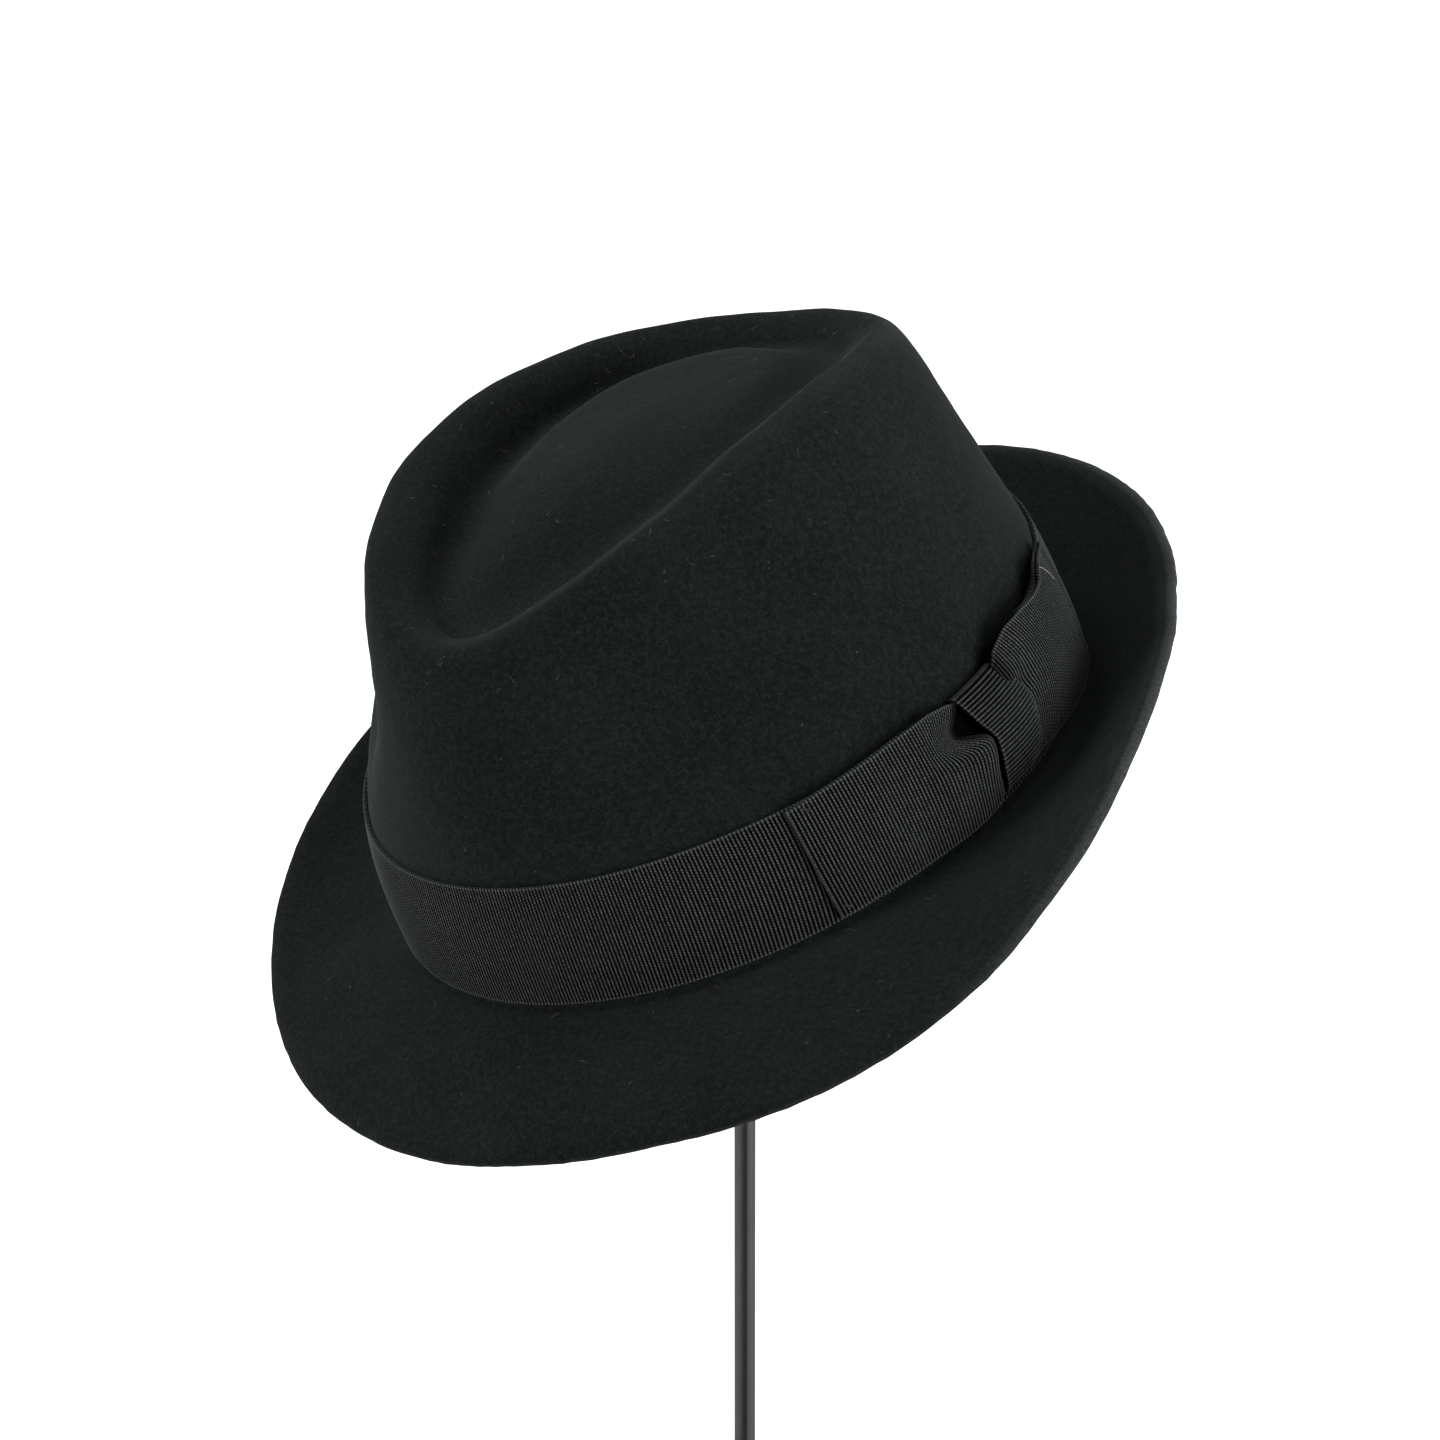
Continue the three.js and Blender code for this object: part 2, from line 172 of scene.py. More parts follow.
# The bow. A table pairs an angle or a height with the value that holds there
CLEAR = 2 * RIBBON_GAP + RIBBON
LAYER = 0.6
LOOP_WIDTH = 31.0
LOOP_RIB_PITCH = 1.02
LOOP_FOLD_SHARE = 0.015
FRONT_FAR_DEG = 48.1
FRONT_END_DEG = 79.2
FRONT_SLANT_DEG = -1.6
FRONT_LOW = ((48, 2.7), (54, 3.4), (66, 3.1), (72, 3.2), (75.4, 3.8), (78.1, 5.1), (79.5, 6.0))
FRONT_HIGH = (
    (46.5, 32.6), (52, 33.6), (59, 34.3), (66, 34.9), (71.5, 35.1), (75, 33.9), (76.9, 32.4),
    (79.2, 31.4),
)
REAR_FAR_DEG = 118.0
REAR_END_DEG = 85.5
REAR_LOW = ((85, 6.6), (91.6, 6.0), (97.6, 4.2), (103.7, 2.6), (108, 2.0), (112.8, 2.2), (118, 2.4))
REAR_HIGH = (
    (85.5, 32.4), (86.2, 34.7), (87.4, 35.8), (90.6, 37.6), (95.4, 37.3), (100.6, 35.9),
    (103.8, 35.6), (106.1, 36.8), (109, 37.4), (118, 35.0),
)
KNOT_WIDTH = 17.0
KNOT_THICKNESS = 0.7
KNOT_RIB_PITCH = 1.16
KNOT_SHADE = 0.1
KNOT_RISE = 3.3
KNOT_LOW = 4.8
KNOT_HIGH = 33.0
KNOT_LEFT = (
    (4.8, 79.6), (7.3, 79.5), (10.2, 79.4), (15.4, 79.7), (19.2, 79.9), (21.7, 79.3), (23.8, 78.6),
    (26, 78.0), (28.7, 77.5), (31.2, 77.1), (33, 76.9),
)
KNOT_RIGHT = (
    (4.8, 89.0), (8.4, 89.2), (11.9, 89.3), (16.5, 89.7), (20.7, 89.4), (26.5, 88.2), (29.4, 87.6),
    (31.1, 86.9), (33, 86.2),
)

# The stand
FOOT_BEVEL = 1.5
FOOT_LOW_BEVEL = 0.6
FOOT_MIDDLE = 12.0
ROD_LOW_BEVEL = 0.2
ROD_HIGH_BEVEL = 0.4
PAD_BEVEL = 1.0
PAD_SIDE = 4.0
# A dark streak of painted reflection up the rod: its angle and how far it spreads to each side
PAINTED_REFLECTION_DEG = -60.0
PAINTED_REFLECTION_LEFT_SPREAD_DEG = 30.0
PAINTED_REFLECTION_RIGHT_SPREAD_DEG = 11.0

# The floor, the light and the camera, with lengths in metres. Each softbox has its name, its turn
# from the camera and its rise in degrees, and its power in watts
FLOOR_HALF = 4.0
SKY_LIGHT = 0.02
SOFTBOX_SIZE = 1.3
SOFTBOX_DISTANCE = 2.2
SOFTBOXES = (
    ("left softbox", 270.0, 48.0, 7.5),
    ("left front softbox", 300.0, 12.0, 15.0),
    ("right front softbox", 60.0, 12.0, 27.0),
    ("right softbox", 90.0, 48.0, 9.5),
    ("back softbox", 225.0, 48.0, 9.5),
)
HAT_MIDDLE = Vector((0.0, 0.0, 0.33))
CAMERA_AZIMUTH = math.radians(25.7)
CAMERA_ELEVATION = math.radians(25.5)
CAMERA_DISTANCE = 1.4748
IMAGE_SIZE = 1440
FOCAL_PIXELS = 5799.0
CENTRE_PIXEL = (740.18, 774.23)
SENSOR_MM = 36.0


# Curves and surfaces of the hat


def mix(a, b, share):
    return a + (b - a) * share


def ramp(value, low, high):
    """Rises evenly from 0 at low to 1 at high"""
    return np.clip((value - low) / (high - low), 0.0, 1.0)


def smooth(value, low, high):
    """Rises smoothly from 0 at low to 1 at high"""
    share = ramp(value, low, high)
    return share * share * (3.0 - 2.0 * share)


def window(value, rise, fall):
    """Rises smoothly to 1 over one stretch and falls back to 0 over another"""
    return smooth(value, *rise) * (1.0 - smooth(value, *fall))


def arch(share, power=1.0):
    """Rises from 0 at the start to 1 in the middle and falls to 0 at the end"""
    return np.sin(math.pi * np.clip(share, 0.0, 1.0)) ** power


def wave(shares, angles, side_shares=()):
    total = sum(share * np.cos(order * angles) for order, share in enumerate(shares))
    side = sum(share * np.sin((place + 1) * angles) for place, share in enumerate(side_shares))
    return total + side


def curve_weights(count, places):
    """How much each control point of a clamped cubic curve counts at places from 0 to 1"""
    knots = np.concatenate([np.zeros(3), np.linspace(0.0, 1.0, count - 2), np.ones(3)])
    at = np.clip(places, 0.0, 1.0 - 1e-9)[:, None]
    weights = ((knots[:-1] <= at) & (at < knots[1:])).astype(float)
    for degree in (1, 2, 3):
        size = len(knots) - 1 - degree
        end = knots[degree + 1:degree + 1 + size]
        rise = knots[degree:degree + size] - knots[:size]
        fall = end - knots[1:1 + size]
        up = np.where(rise > 0, (at - knots[:size]) / np.where(rise > 0, rise, 1.0), 0.0)
        down = np.where(fall > 0, (end - at) / np.where(fall > 0, fall, 1.0), 0.0)
        weights = up * weights[:, :size] + down * weights[:, 1:size + 1]
    return weights


def curve_grid(controls, places):
    """Points of many curves at once: controls is a list of (angles, 3) arrays"""
    return np.einsum("pk,kad->apd", curve_weights(len(controls), places), np.stack(controls))


def with_height(plan, height):
    height = np.broadcast_to(height, plan.shape[:1])
    return np.concatenate([plan, height[:, None]], axis=1)


def unit(vectors):
    length = np.linalg.norm(vectors, axis=-1, keepdims=True)
    return vectors / np.maximum(length, 1e-9)


def run_length(points, axis=0):
    """The distance along lines of points from their start to each point"""
    steps = np.linalg.norm(np.diff(points, axis=axis), axis=-1)
    start = np.zeros_like(np.take(steps, [0], axis=axis))
    return np.concatenate([start, np.cumsum(steps, axis=axis)], axis=axis)


def break_plan(angles):
    egg = 1.0 - EGG_SHARE * np.cos(angles)
    return np.stack([HALF_WIDTH * egg * np.sin(angles), -HALF_LENGTH * np.cos(angles)], axis=-1)


def break_height(angles):
    return -BREAK_LINE_SWAY * np.cos(2.0 * angles)


def crease_plan(across, along):
    turn = math.radians(CREASE_TURN_DEG)
    x = across * math.cos(turn) - along * math.sin(turn) + CREASE_SHIFT
    y = across * math.sin(turn) + along * math.cos(turn)
    return np.stack([x, y], axis=-1)


def pinch_depth(angles, height, places):
    depth = np.zeros_like(height)
    for side in (1.0, -1.0):
        middle = math.radians(side * PINCH_ANGLE_DEG + CREASE_TURN_DEG)
        turn = (angles - middle + math.pi) % WHOLE_TURN - math.pi
        sideways = (turn * CROWN_RADIUS / PINCH_HALF_WIDTH)[:, None]
        upward = (height - PINCH_HEIGHT) / PINCH_HALF_HEIGHT
        depth += PINCH_DEPTH * np.exp(-sideways ** 2 - upward ** 2)
    return depth * smooth(PINCH_END_PLACE - places, 0.0, PINCH_FADE)


def crown_grid(angles, places):
    """The crown's outer face, from the brim up the wall, over the rim, through the groove and up
    to the middle"""
    base = break_plan(angles)
    base_z = break_height(angles)
    rim_across = wave(RIM_HALF_WIDTH, angles) * np.sin(angles)
    rim = crease_plan(rim_across, RIM_CENTRE_Y - RIM_HALF_LENGTH * np.cos(angles))
    rim_z = wave(RIM_HEIGHT, angles, RIM_SIDE_HEIGHT)
    groove_across = wave(GROOVE_HALF_WIDTH, angles) * np.sin(angles)
    groove = crease_plan(groove_across, GROOVE_CENTRE_Y - GROOVE_HALF_LENGTH * np.cos(angles))
    groove_z = wave(GROOVE_HEIGHT, angles, GROOVE_SIDE_HEIGHT)
    centre = crease_plan(np.zeros_like(angles), np.full_like(angles, MIDDLE_CENTRE_Y))
    radius = mix(RIM_RADIUS_BACK, RIM_RADIUS_FRONT, 0.5 + 0.5 * np.cos(angles))
    spread = (RIM_SPREAD * radius)[:, None]
    bulge = wave(WALL_BULGE, angles)
    outward = unit(base - rim)
    from_groove = unit(rim - groove)
    slope = SLOPE_SHARE * (np.linalg.norm(rim - groove, axis=-1) - RIM_ROOM * radius)
    shoulder = rim + outward * radius[:, None]
    shoulder_z = rim_z - SHOULDER_DROP * radius
    tilt = MIDDLE_SLOPE * np.cos(angles)

    def wall(inward, upward, swell):
        plan = mix(base, shoulder, inward) + outward * (swell * bulge)[:, None]
        return with_height(plan, mix(base_z, shoulder_z, upward))

    def middle(share, height):
        return with_height(mix(centre, groove, share), height)

    controls = [
        with_height(base, base_z),
        *[wall(*point) for point in WALL_POINTS],
        with_height(shoulder + outward * SHOULDER_STEP, shoulder_z + SHOULDER_RISE * radius),
        with_height(rim + outward * spread, rim_z + RIM_OUTER_RISE * radius),
        with_height(rim - from_groove * spread, rim_z + RIM_INNER_RISE * radius),
        with_height(groove + from_groove * slope[:, None], mix(groove_z, rim_z, SLOPE_SHARE)),
        with_height(groove + from_groove * GROOVE_OUTER_HALF, groove_z - GROOVE_DIP),
        with_height(groove - from_groove * GROOVE_INNER_HALF, groove_z - GROOVE_DIP),
        middle(0.5 + 0.5 * MIDDLE_FLAT_SHARE, mix(groove_z, MIDDLE_HEIGHT, MIDDLE_SHOULDER_SHARE)),
        middle(MIDDLE_FLAT_SHARE, MIDDLE_HEIGHT + tilt - GROOVE_DIP),
        middle(0.5 * MIDDLE_FLAT_SHARE, MIDDLE_HEIGHT + 0.5 * tilt),
        with_height(centre, MIDDLE_HEIGHT),
    ]
    grid = curve_grid(controls, places)
    depth = pinch_depth(angles, grid[..., 2], places)
    push = unit(np.stack([np.sin(angles) / HALF_WIDTH, -np.cos(angles) / HALF_LENGTH], axis=-1))
    grid[..., :2] -= push[:, None] * depth[..., None]
    return grid


def brim_grid(angles, places):
    """The brim's upper face, from its cut edge in to the foot of the crown"""
    base = break_plan(angles)
    base_z = break_height(angles)
    outward = np.stack([np.sin(angles), -np.cos(angles)], axis=-1)
    width = wave(BRIM_WIDTH, angles, BRIM_SIDE_WIDTH)
    edge = outward * np.stack([HALF_WIDTH + width, HALF_LENGTH + width], axis=-1)
    edge_z = wave(BRIM_EDGE_HEIGHT, angles, BRIM_EDGE_SIDE_HEIGHT)

    def part(share, rise):
        return with_height(mix(base, edge, share), mix(base_z - BRIM_DROP, edge_z, rise))

    controls = [
        with_height(edge, edge_z),
        *[part(share, mix(share, share ** 2, BRIM_CURL)) for share in BRIM_CURVE_SHARES],
        part(BRIM_ROOT_SHARE, BRIM_ROOT_RISE),
        with_height(base + outward * BRIM_FILLET, base_z - BRIM_DROP),
        with_height(base, base_z - BRIM_FILLET),
        with_height(base, base_z),
    ]
    return curve_grid(controls, places)


def round_normals(grid):
    """Outward normals of a grid whose columns close round the hat"""
    across = np.roll(grid, -1, axis=0) - np.roll(grid, 1, axis=0)
    up = np.gradient(grid, axis=1)
    return unit(np.cross(across, up))


class Wall:
    """Looks up points and normals of the crown's wall by angle in degrees and height"""

    STEP_DEG = 0.25
    STEP_HEIGHT = 0.25
    TOP = 48.0
    END_PLACE = 0.5
    PLACES = 320

    def __init__(self):
        angles = np.radians(np.arange(0.0, 360.0, self.STEP_DEG))
        heights = np.arange(0.0, self.TOP + self.STEP_HEIGHT, self.STEP_HEIGHT)
        grid = crown_grid(angles, np.linspace(0.0, self.END_PLACE, self.PLACES))
        foot = break_height(angles)
        self.points = np.zeros((len(angles), len(heights), 3))
        for i, column in enumerate(grid):
            level = foot[i] + heights
            self.points[i, :, 0] = np.interp(level, column[:, 2], column[:, 0])
            self.points[i, :, 1] = np.interp(level, column[:, 2], column[:, 1])
            self.points[i, :, 2] = level
        self.normals = round_normals(self.points)

    def at(self, degrees, height, lift):
        """Points that stand off the wall by lift, all three given as arrays of one shape"""
        column = (degrees % 360.0) / self.STEP_DEG
        row = np.clip(height / self.STEP_HEIGHT, 0.0, self.points.shape[1] - 1.001)
        i = np.floor(column).astype(int)
        j = np.floor(row).astype(int)
        a = (column - i)[..., None]
        b = (row - j)[..., None]
        i %= len(self.points)
        k = (i + 1) % len(self.points)

        def sample(table):
            low = mix(table[i, j], table[k, j], a)
            high = mix(table[i, j + 1], table[k, j + 1], a)
            return mix(low, high, b)

        return sample(self.points) + unit(sample(self.normals)) * lift[..., None]


def hand_waver(points, *layers):
    """A slow random unevenness. Each layer has its seed, how long its waves are and its size"""
    waves = 14
    total = np.zeros(points.shape[:-1])
    for seed, reach, size in layers:
        random = np.random.default_rng(seed)
        height = size / math.sqrt(waves / 2.0)
        for _ in range(waves):
            direction = unit(random.normal(size=3))
            turns = points @ direction / (reach * random.uniform(0.6, 1.8))
            total += height * np.sin(WHOLE_TURN * turns + random.uniform(0.0, WHOLE_TURN))
    return total


# Placing points and building meshes


def hat_rotation():
    lean = math.radians(HAT_LEAN_DEG)
    nod = math.radians(HAT_NOD_DEG)
    return np.array((Matrix.Rotation(nod, 3, "X") @ Matrix.Rotation(lean, 3, "Y")))


HAT_TURN = hat_rotation()


def from_hat(points):
    """Hat frame in millimetres to the part's frame in metres"""
    return (points @ HAT_TURN.T + np.array(HAT_PLACE)) * MM


def link_piece(name, mesh):
    piece = bpy.data.objects.new(name, mesh)
    bpy.context.scene.collection.objects.link(piece)
    return piece


def mesh_piece(name, points, faces, attributes):
    """A smooth-shaded mesh object from points in metres and lists of corners"""
    mesh = bpy.data.meshes.new(name)
    mesh.from_pydata(points.tolist(), [], faces)
    mesh.polygons.foreach_set("use_smooth", [True] * len(mesh.polygons))
    for label, values in attributes.items():
        layer = mesh.attributes.new(label, "FLOAT", "POINT")
        layer.data.foreach_set("value", np.asarray(values, dtype=np.float32).ravel())
    mesh.update()
    return link_piece(name, mesh)


def capped_faces(columns, rows):
    """Faces of a grid whose columns close round, outward where its rows run up. The two points
    that follow the grid close its ends"""
    starts = [(i * rows, (i + 1) % columns * rows) for i in range(columns)]
    faces = [(a + j, b + j, b + j + 1, a + j + 1) for a, b in starts for j in range(rows - 1)]
    under = columns * rows
    for a, b in starts:
        faces += [(b, a, under), (a + rows - 1, b + rows - 1, under + 1)]
    return faces


def finish_piece(piece, material, slot, *solids):
    """Gives a piece its material and ties it to the solids that it stands for"""
    piece.data.materials.clear()
    piece.data.materials.append(material)
    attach(piece, "root")
    if solids:
        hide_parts(*solids)


# Node trees


def rgb(red, green, blue):
    return (red, green, blue, 1.0)


class Nodes:
    """A node tree, of a material, a group or geometry, with short calls to add and join nodes"""

    MIX_A = 6
    MIX_B = 7
    MIX_RESULT = 2

    def __init__(self, tree):
        self.tree = tree

    def node(self, kind, inputs=None, **settings):
        """Adds a node. Its inputs are given by name or by place"""
        node = self.tree.nodes.new(kind)
        for key, value in settings.items():
            setattr(node, key, value)
        self.fill(node, inputs or {})
        return node

    def fill(self, node, inputs):
        for label, value in inputs.items():
            if isinstance(value, bpy.types.NodeSocket):
                self.join(value, node.inputs[label])
            else:
                node.inputs[label].default_value = value

    def join(self, source, target):
        self.tree.links.new(source, target)

    def math(self, operation, *values):
        return self.node("ShaderNodeMath", dict(enumerate(values)), operation=operation).outputs[0]

    def product(self, first, *others):
        for value in others:
            first = self.math("MULTIPLY", first, value)
        return first

    def range(self, value, low, high, to_low=0.0, to_high=1.0, kind="LINEAR"):
        labels = ("Value", "From Min", "From Max", "To Min", "To Max")
        inputs = dict(zip(labels, (value, low, high, to_low, to_high)))
        return self.node("ShaderNodeMapRange", inputs, interpolation_type=kind).outputs["Result"]

    def blend(self, share, a, b, clamp=True):
        inputs = {"Factor": share, self.MIX_A: a, self.MIX_B: b}
        node = self.node("ShaderNodeMix", inputs, data_type="RGBA", clamp_factor=clamp)
        return node.outputs[self.MIX_RESULT]

    def noise(self, vector, scale, detail=2.0, roughness=0.5):
        inputs = {"Vector": vector, "Scale": scale, "Detail": detail, "Roughness": roughness}
        return self.node("ShaderNodeTexNoise", inputs).outputs["Fac"]

    def attribute(self, name):
        return self.node("ShaderNodeAttribute", attribute_name=name).outputs["Fac"]

    def object_place(self):
        return self.node("ShaderNodeTexCoord").outputs["Object"]

    def facing(self):
        return self.node("ShaderNodeLayerWeight", {"Blend": 0.5}).outputs["Facing"]

    def ridge(self, ribs):
        """From a count of ribs, 0 in the groove between two ribs and 1 on a rib's crest"""
        return self.math("ABSOLUTE", self.math("SINE", self.product(ribs, math.pi)))

    def bump(self, height, strength, distance):
        inputs = {"Height": height, "Strength": strength, "Distance": distance}
        return self.node("ShaderNodeBump", inputs).outputs["Normal"]

    def group(self, tree, **values):
        return self.node("ShaderNodeGroup", values, node_tree=tree).outputs


def new_group(kind, name, inputs, outputs):
    """An empty group, its inputs as (name, socket kind, value) and outputs as (name, socket kind)"""
    tree = bpy.data.node_groups.new(name, kind)
    for label, socket_kind, *value in inputs:
        socket = tree.interface.new_socket(
            label, in_out="INPUT", socket_type="NodeSocket" + socket_kind
        )
        if value:
            socket.default_value = value[0]
    for label, socket_kind in outputs:
        tree.interface.new_socket(label, in_out="OUTPUT", socket_type="NodeSocket" + socket_kind)
    nodes = Nodes(tree)
    return nodes, nodes.node("NodeGroupInput").outputs, nodes.node("NodeGroupOutput").inputs


def make_lint_group():
    """Short pale specks of lint, sparse and at random"""
    nodes, given, out = new_group(
        "ShaderNodeTree",
        "Lint specks",
        [("Place", "Vector"), ("Spacing", "Float", 240.0), ("Size", "Float", 0.1),
         ("Share", "Float", 0.3)],
        [("Mask", "Float")],
    )
    bend_scale = 900.0
    bend_size = (0.0012, 0.0012, 0.0012)
    bend = nodes.node("ShaderNodeTexNoise", {"Vector": given["Place"], "Scale": bend_scale})
    bent = nodes.node(
        "ShaderNodeVectorMath",
        {0: bend.outputs["Color"], 1: bend_size, 2: given["Place"]},
        operation="MULTIPLY_ADD",
    ).outputs[0]
    cells = nodes.node("ShaderNodeTexVoronoi", {"Vector": bent, "Scale": given["Spacing"]}).outputs
    near = nodes.range(cells["Distance"], given["Size"], 0.0)
    split = nodes.node("ShaderNodeSeparateColor", {0: cells["Color"]}).outputs
    chosen = nodes.math("LESS_THAN", split[0], given["Share"])
    strength = nodes.range(split[1], 0.0, 1.0, to_low=0.25)
    nodes.join(nodes.product(near, chosen, strength), out["Mask"])
    return nodes.tree


def make_nap_group():
    """The face of felt: a mottle from 0 to 1, a mask of fine curled fibres and a height"""
    nodes, given, out = new_group(
        "ShaderNodeTree",
        "Felt nap",
        [("Place", "Vector"), ("Fineness", "Float", 1.0)],
        [("Mottle", "Float"), ("Fibres", "Float"), ("Height", "Float")],
    )

    def layer(scale, detail, roughness, place=None):
        size = nodes.product(given["Fineness"], scale)
        return nodes.noise(place or given["Place"], size, detail, roughness)

    def curls(scale, offset, width):
        """Thin lines along the middle level of a noise"""
        shift = {0: given["Place"], 1: (offset, 2.0 * offset, -offset)}
        place = nodes.node("ShaderNodeVectorMath", shift, operation="ADD").outputs[0]
        line = nodes.math("SUBTRACT", layer(scale, 1.5, 0.5, place), 0.5)
        return nodes.range(nodes.math("ABSOLUTE", line), width, 0.0)

    cloud = layer(45.0, 3.0, 0.5)
    tuft = layer(950.0, 2.0, 0.6)
    fuzz = layer(2400.0, 2.0, 0.7)
    mottle = nodes.math("MULTIPLY_ADD", tuft, 0.3, nodes.product(cloud, 0.2))
    mottle = nodes.math("MULTIPLY_ADD", fuzz, 0.5, mottle)
    nodes.join(nodes.range(mottle, 0.42, 0.58), out["Mottle"])
    fibres = nodes.math("MAXIMUM", curls(1100.0, 0.0, 0.05), curls(1900.0, 0.31, 0.06))
    patch = nodes.range(layer(700.0, 2.0, 0.6), 0.42, 0.58, to_low=0.15)
    fibres = nodes.product(fibres, patch)
    nodes.join(fibres, out["Fibres"])
    height = nodes.math("MULTIPLY_ADD", tuft, 0.4, nodes.product(fuzz, 0.4))
    nodes.join(nodes.math("MULTIPLY_ADD", fibres, 0.2, height), out["Height"])
    return nodes.tree


LINT = make_lint_group()
NAP = make_nap_group()


def new_material(name):
    material = bpy.data.materials.new(name)
    material.use_nodes = True
    return material, Nodes(material.node_tree), material.node_tree.nodes["Principled BSDF"]


def felt_material():
    material, nodes, cloth = new_material("Black wool felt")
    place = nodes.object_place()
    nap = nodes.group(NAP, Place=place, Fineness=1.0)
    lint = nodes.group(LINT, Place=place, Spacing=210.0, Size=0.085, Share=0.35)["Mask"]
    mottle = nap["Mottle"]
    dark = nodes.blend(
        nodes.noise(place, 22.0), rgb(0.0030, 0.0040, 0.0043), rgb(0.0038, 0.0042, 0.0041)
    )
    light = nodes.blend(
        nodes.noise(place, 30.0), rgb(0.0112, 0.0136, 0.0142), rgb(0.0128, 0.0140, 0.0138)
    )
    colour = nodes.blend(mottle, dark, light)
    threads = nodes.product(nap["Fibres"], 0.6)
    colour = nodes.blend(threads, colour, rgb(0.038, 0.043, 0.043))
    # Painted sheen: the felt is painted paler along its outline and wherever it is seen at a slant,
    # unevenly with the mottle
    grazing = nodes.math("POWER", nodes.facing(), 13.0)
    fuzz = nodes.product(grazing, nodes.range(mottle, 0.0, 1.0, to_low=0.3))
    colour = nodes.blend(fuzz, colour, rgb(0.090, 0.102, 0.100))
    # Painted light on the brim's edge, uneven with the mottle: a little on the cut all round, and
    # more on the cut and close to it on the side where the edge catches the light
    frayed_and_lit = nodes.range(mottle, 0.0, 1.0, to_low=0.35, to_high=0.9)
    frayed_and_lit = nodes.product(nodes.attribute("pale_and_lit_edge"), frayed_and_lit)
    colour = nodes.blend(frayed_and_lit, colour, rgb(0.110, 0.124, 0.121))
    nodes.fill(cloth, {
        "Base Color": nodes.blend(lint, colour, rgb(0.16, 0.17, 0.17)),
        "Normal": nodes.bump(nap["Height"], strength=0.6, distance=0.0004),
        "Roughness": 1.0,
        "Specular IOR Level": 0.04,
        "Sheen Weight": 0.1,
        "Sheen Roughness": 0.6,
        "Sheen Tint": rgb(0.88, 1.0, 0.99),
    })
    return material


def thread_material(name, dark, light):
    """A spun thread or a stray hair, uneven along its length"""
    material, nodes, cloth = new_material(name)
    strand = nodes.range(nodes.noise(nodes.object_place(), 900.0, 2.0, 0.6), 0.35, 0.65)
    nodes.fill(cloth, {
        "Base Color": nodes.blend(strand, dark, light),
        "Roughness": nodes.range(strand, 0.0, 1.0, to_low=0.75, to_high=0.5),
        "Sheen Weight": 0.1,
    })
    return material


def ribbon_material():
    """Ribs from the piece's own rib count, with the thread's beads along each rib. Each rib's crest
    and the selvedge are painted light, a painted highlight, and the grooves are painted near black,
    painted shade
    """
    material, nodes, cloth = new_material("Ribbed ribbon")
    painted_shade_black = rgb(0.0006, 0.0006, 0.0007)
    place = nodes.object_place()
    rib = nodes.attribute("rib")
    # The attribute read below carries painted shade where the cloth lies under the knot, and a small
    # even darkening of the knot itself
    painted_dark = nodes.attribute("painted_dark")
    crest = nodes.range(nodes.ridge(rib), 0.6, 1.0, kind="SMOOTHSTEP")
    crest = nodes.product(crest, nodes.math("SUBTRACT", 1.0, painted_dark))
    every_other = nodes.product(nodes.math("FLOOR", rib), math.pi)
    beads = nodes.product(nodes.attribute("thread"), BEAD_TURN_PER_MM)
    beads = nodes.math("SINE", nodes.math("ADD", beads, every_other))
    beads = nodes.range(beads, -1.0, 1.0, to_low=0.35, to_high=1.3)
    fleck = nodes.noise(place, 1500.0, 2.0, 0.6)
    fleck = nodes.range(fleck, 0.3, 0.7, to_low=0.45, to_high=1.5)
    edge = nodes.product(nodes.attribute("selvedge"), 1.25)
    edge = nodes.product(edge, nodes.range(crest, 0.0, 1.0, to_low=0.2, to_high=1.2))
    # Painted highlight on the rib crests and the selvedge, broken by the beads and flecks, over
    # painted shade in the grooves between the ribs
    tone = nodes.math("MAXIMUM", nodes.product(crest, beads, fleck), edge)
    colour = nodes.blend(tone, painted_shade_black, rgb(0.104, 0.116, 0.109), clamp=False)
    # Painted sheen: the ribbon is painted paler where it is seen at a slant
    painted_sheen = nodes.range(nodes.facing(), 0.42, 0.85, to_high=0.9, kind="SMOOTHSTEP")
    colour = nodes.blend(painted_sheen, colour, rgb(0.095, 0.108, 0.102))
    lint = nodes.group(LINT, Place=place, Spacing=160.0, Size=0.05, Share=0.14)["Mask"]
    colour = nodes.blend(lint, colour, rgb(0.2, 0.21, 0.21))
    nodes.fill(cloth, {
        # Painted shade: cloth under the knot is blended to black
        "Base Color": nodes.blend(painted_dark, colour, painted_shade_black),
        "Normal": nodes.bump(tone, strength=0.3, distance=0.0001),
        "Roughness": nodes.range(crest, 0.0, 1.0, to_low=1.0, to_high=0.46),
        "Specular IOR Level": 0.08,
        "Sheen Weight": 0.10,
        "Sheen Roughness": 0.2,
    })
    return material


def steel_material():
    material, nodes, metal = new_material("Dull grey steel")
    place = nodes.object_place()
    stretch = nodes.node("ShaderNodeMapping", {"Vector": place, "Scale": (1.0, 1.0, 0.06)})
    grain = nodes.noise(stretch.outputs[0], 2600.0, 3.0, 0.6)
    cloud = nodes.noise(place, 45.0, 3.0)
    colour = nodes.blend(cloud, rgb(0.155, 0.155, 0.158), rgb(0.235, 0.235, 0.239))
    specks = nodes.group(LINT, Place=place, Spacing=420.0, Size=0.12, Share=0.3)["Mask"]
    colour = nodes.blend(specks, colour, rgb(0.4, 0.4, 0.4))
    nodes.fill(metal, {
        # Painted reflection: a dark streak up the rod
        "Base Color": nodes.blend(nodes.attribute("painted_reflection"), colour, rgb(0.05, 0.05, 0.051)),
        "Normal": nodes.bump(grain, strength=0.12, distance=0.00005),
        "Roughness": nodes.range(grain, 0.3, 0.7, to_low=0.38, to_high=0.55),
        "Metallic": 1.0,
    })
    return material


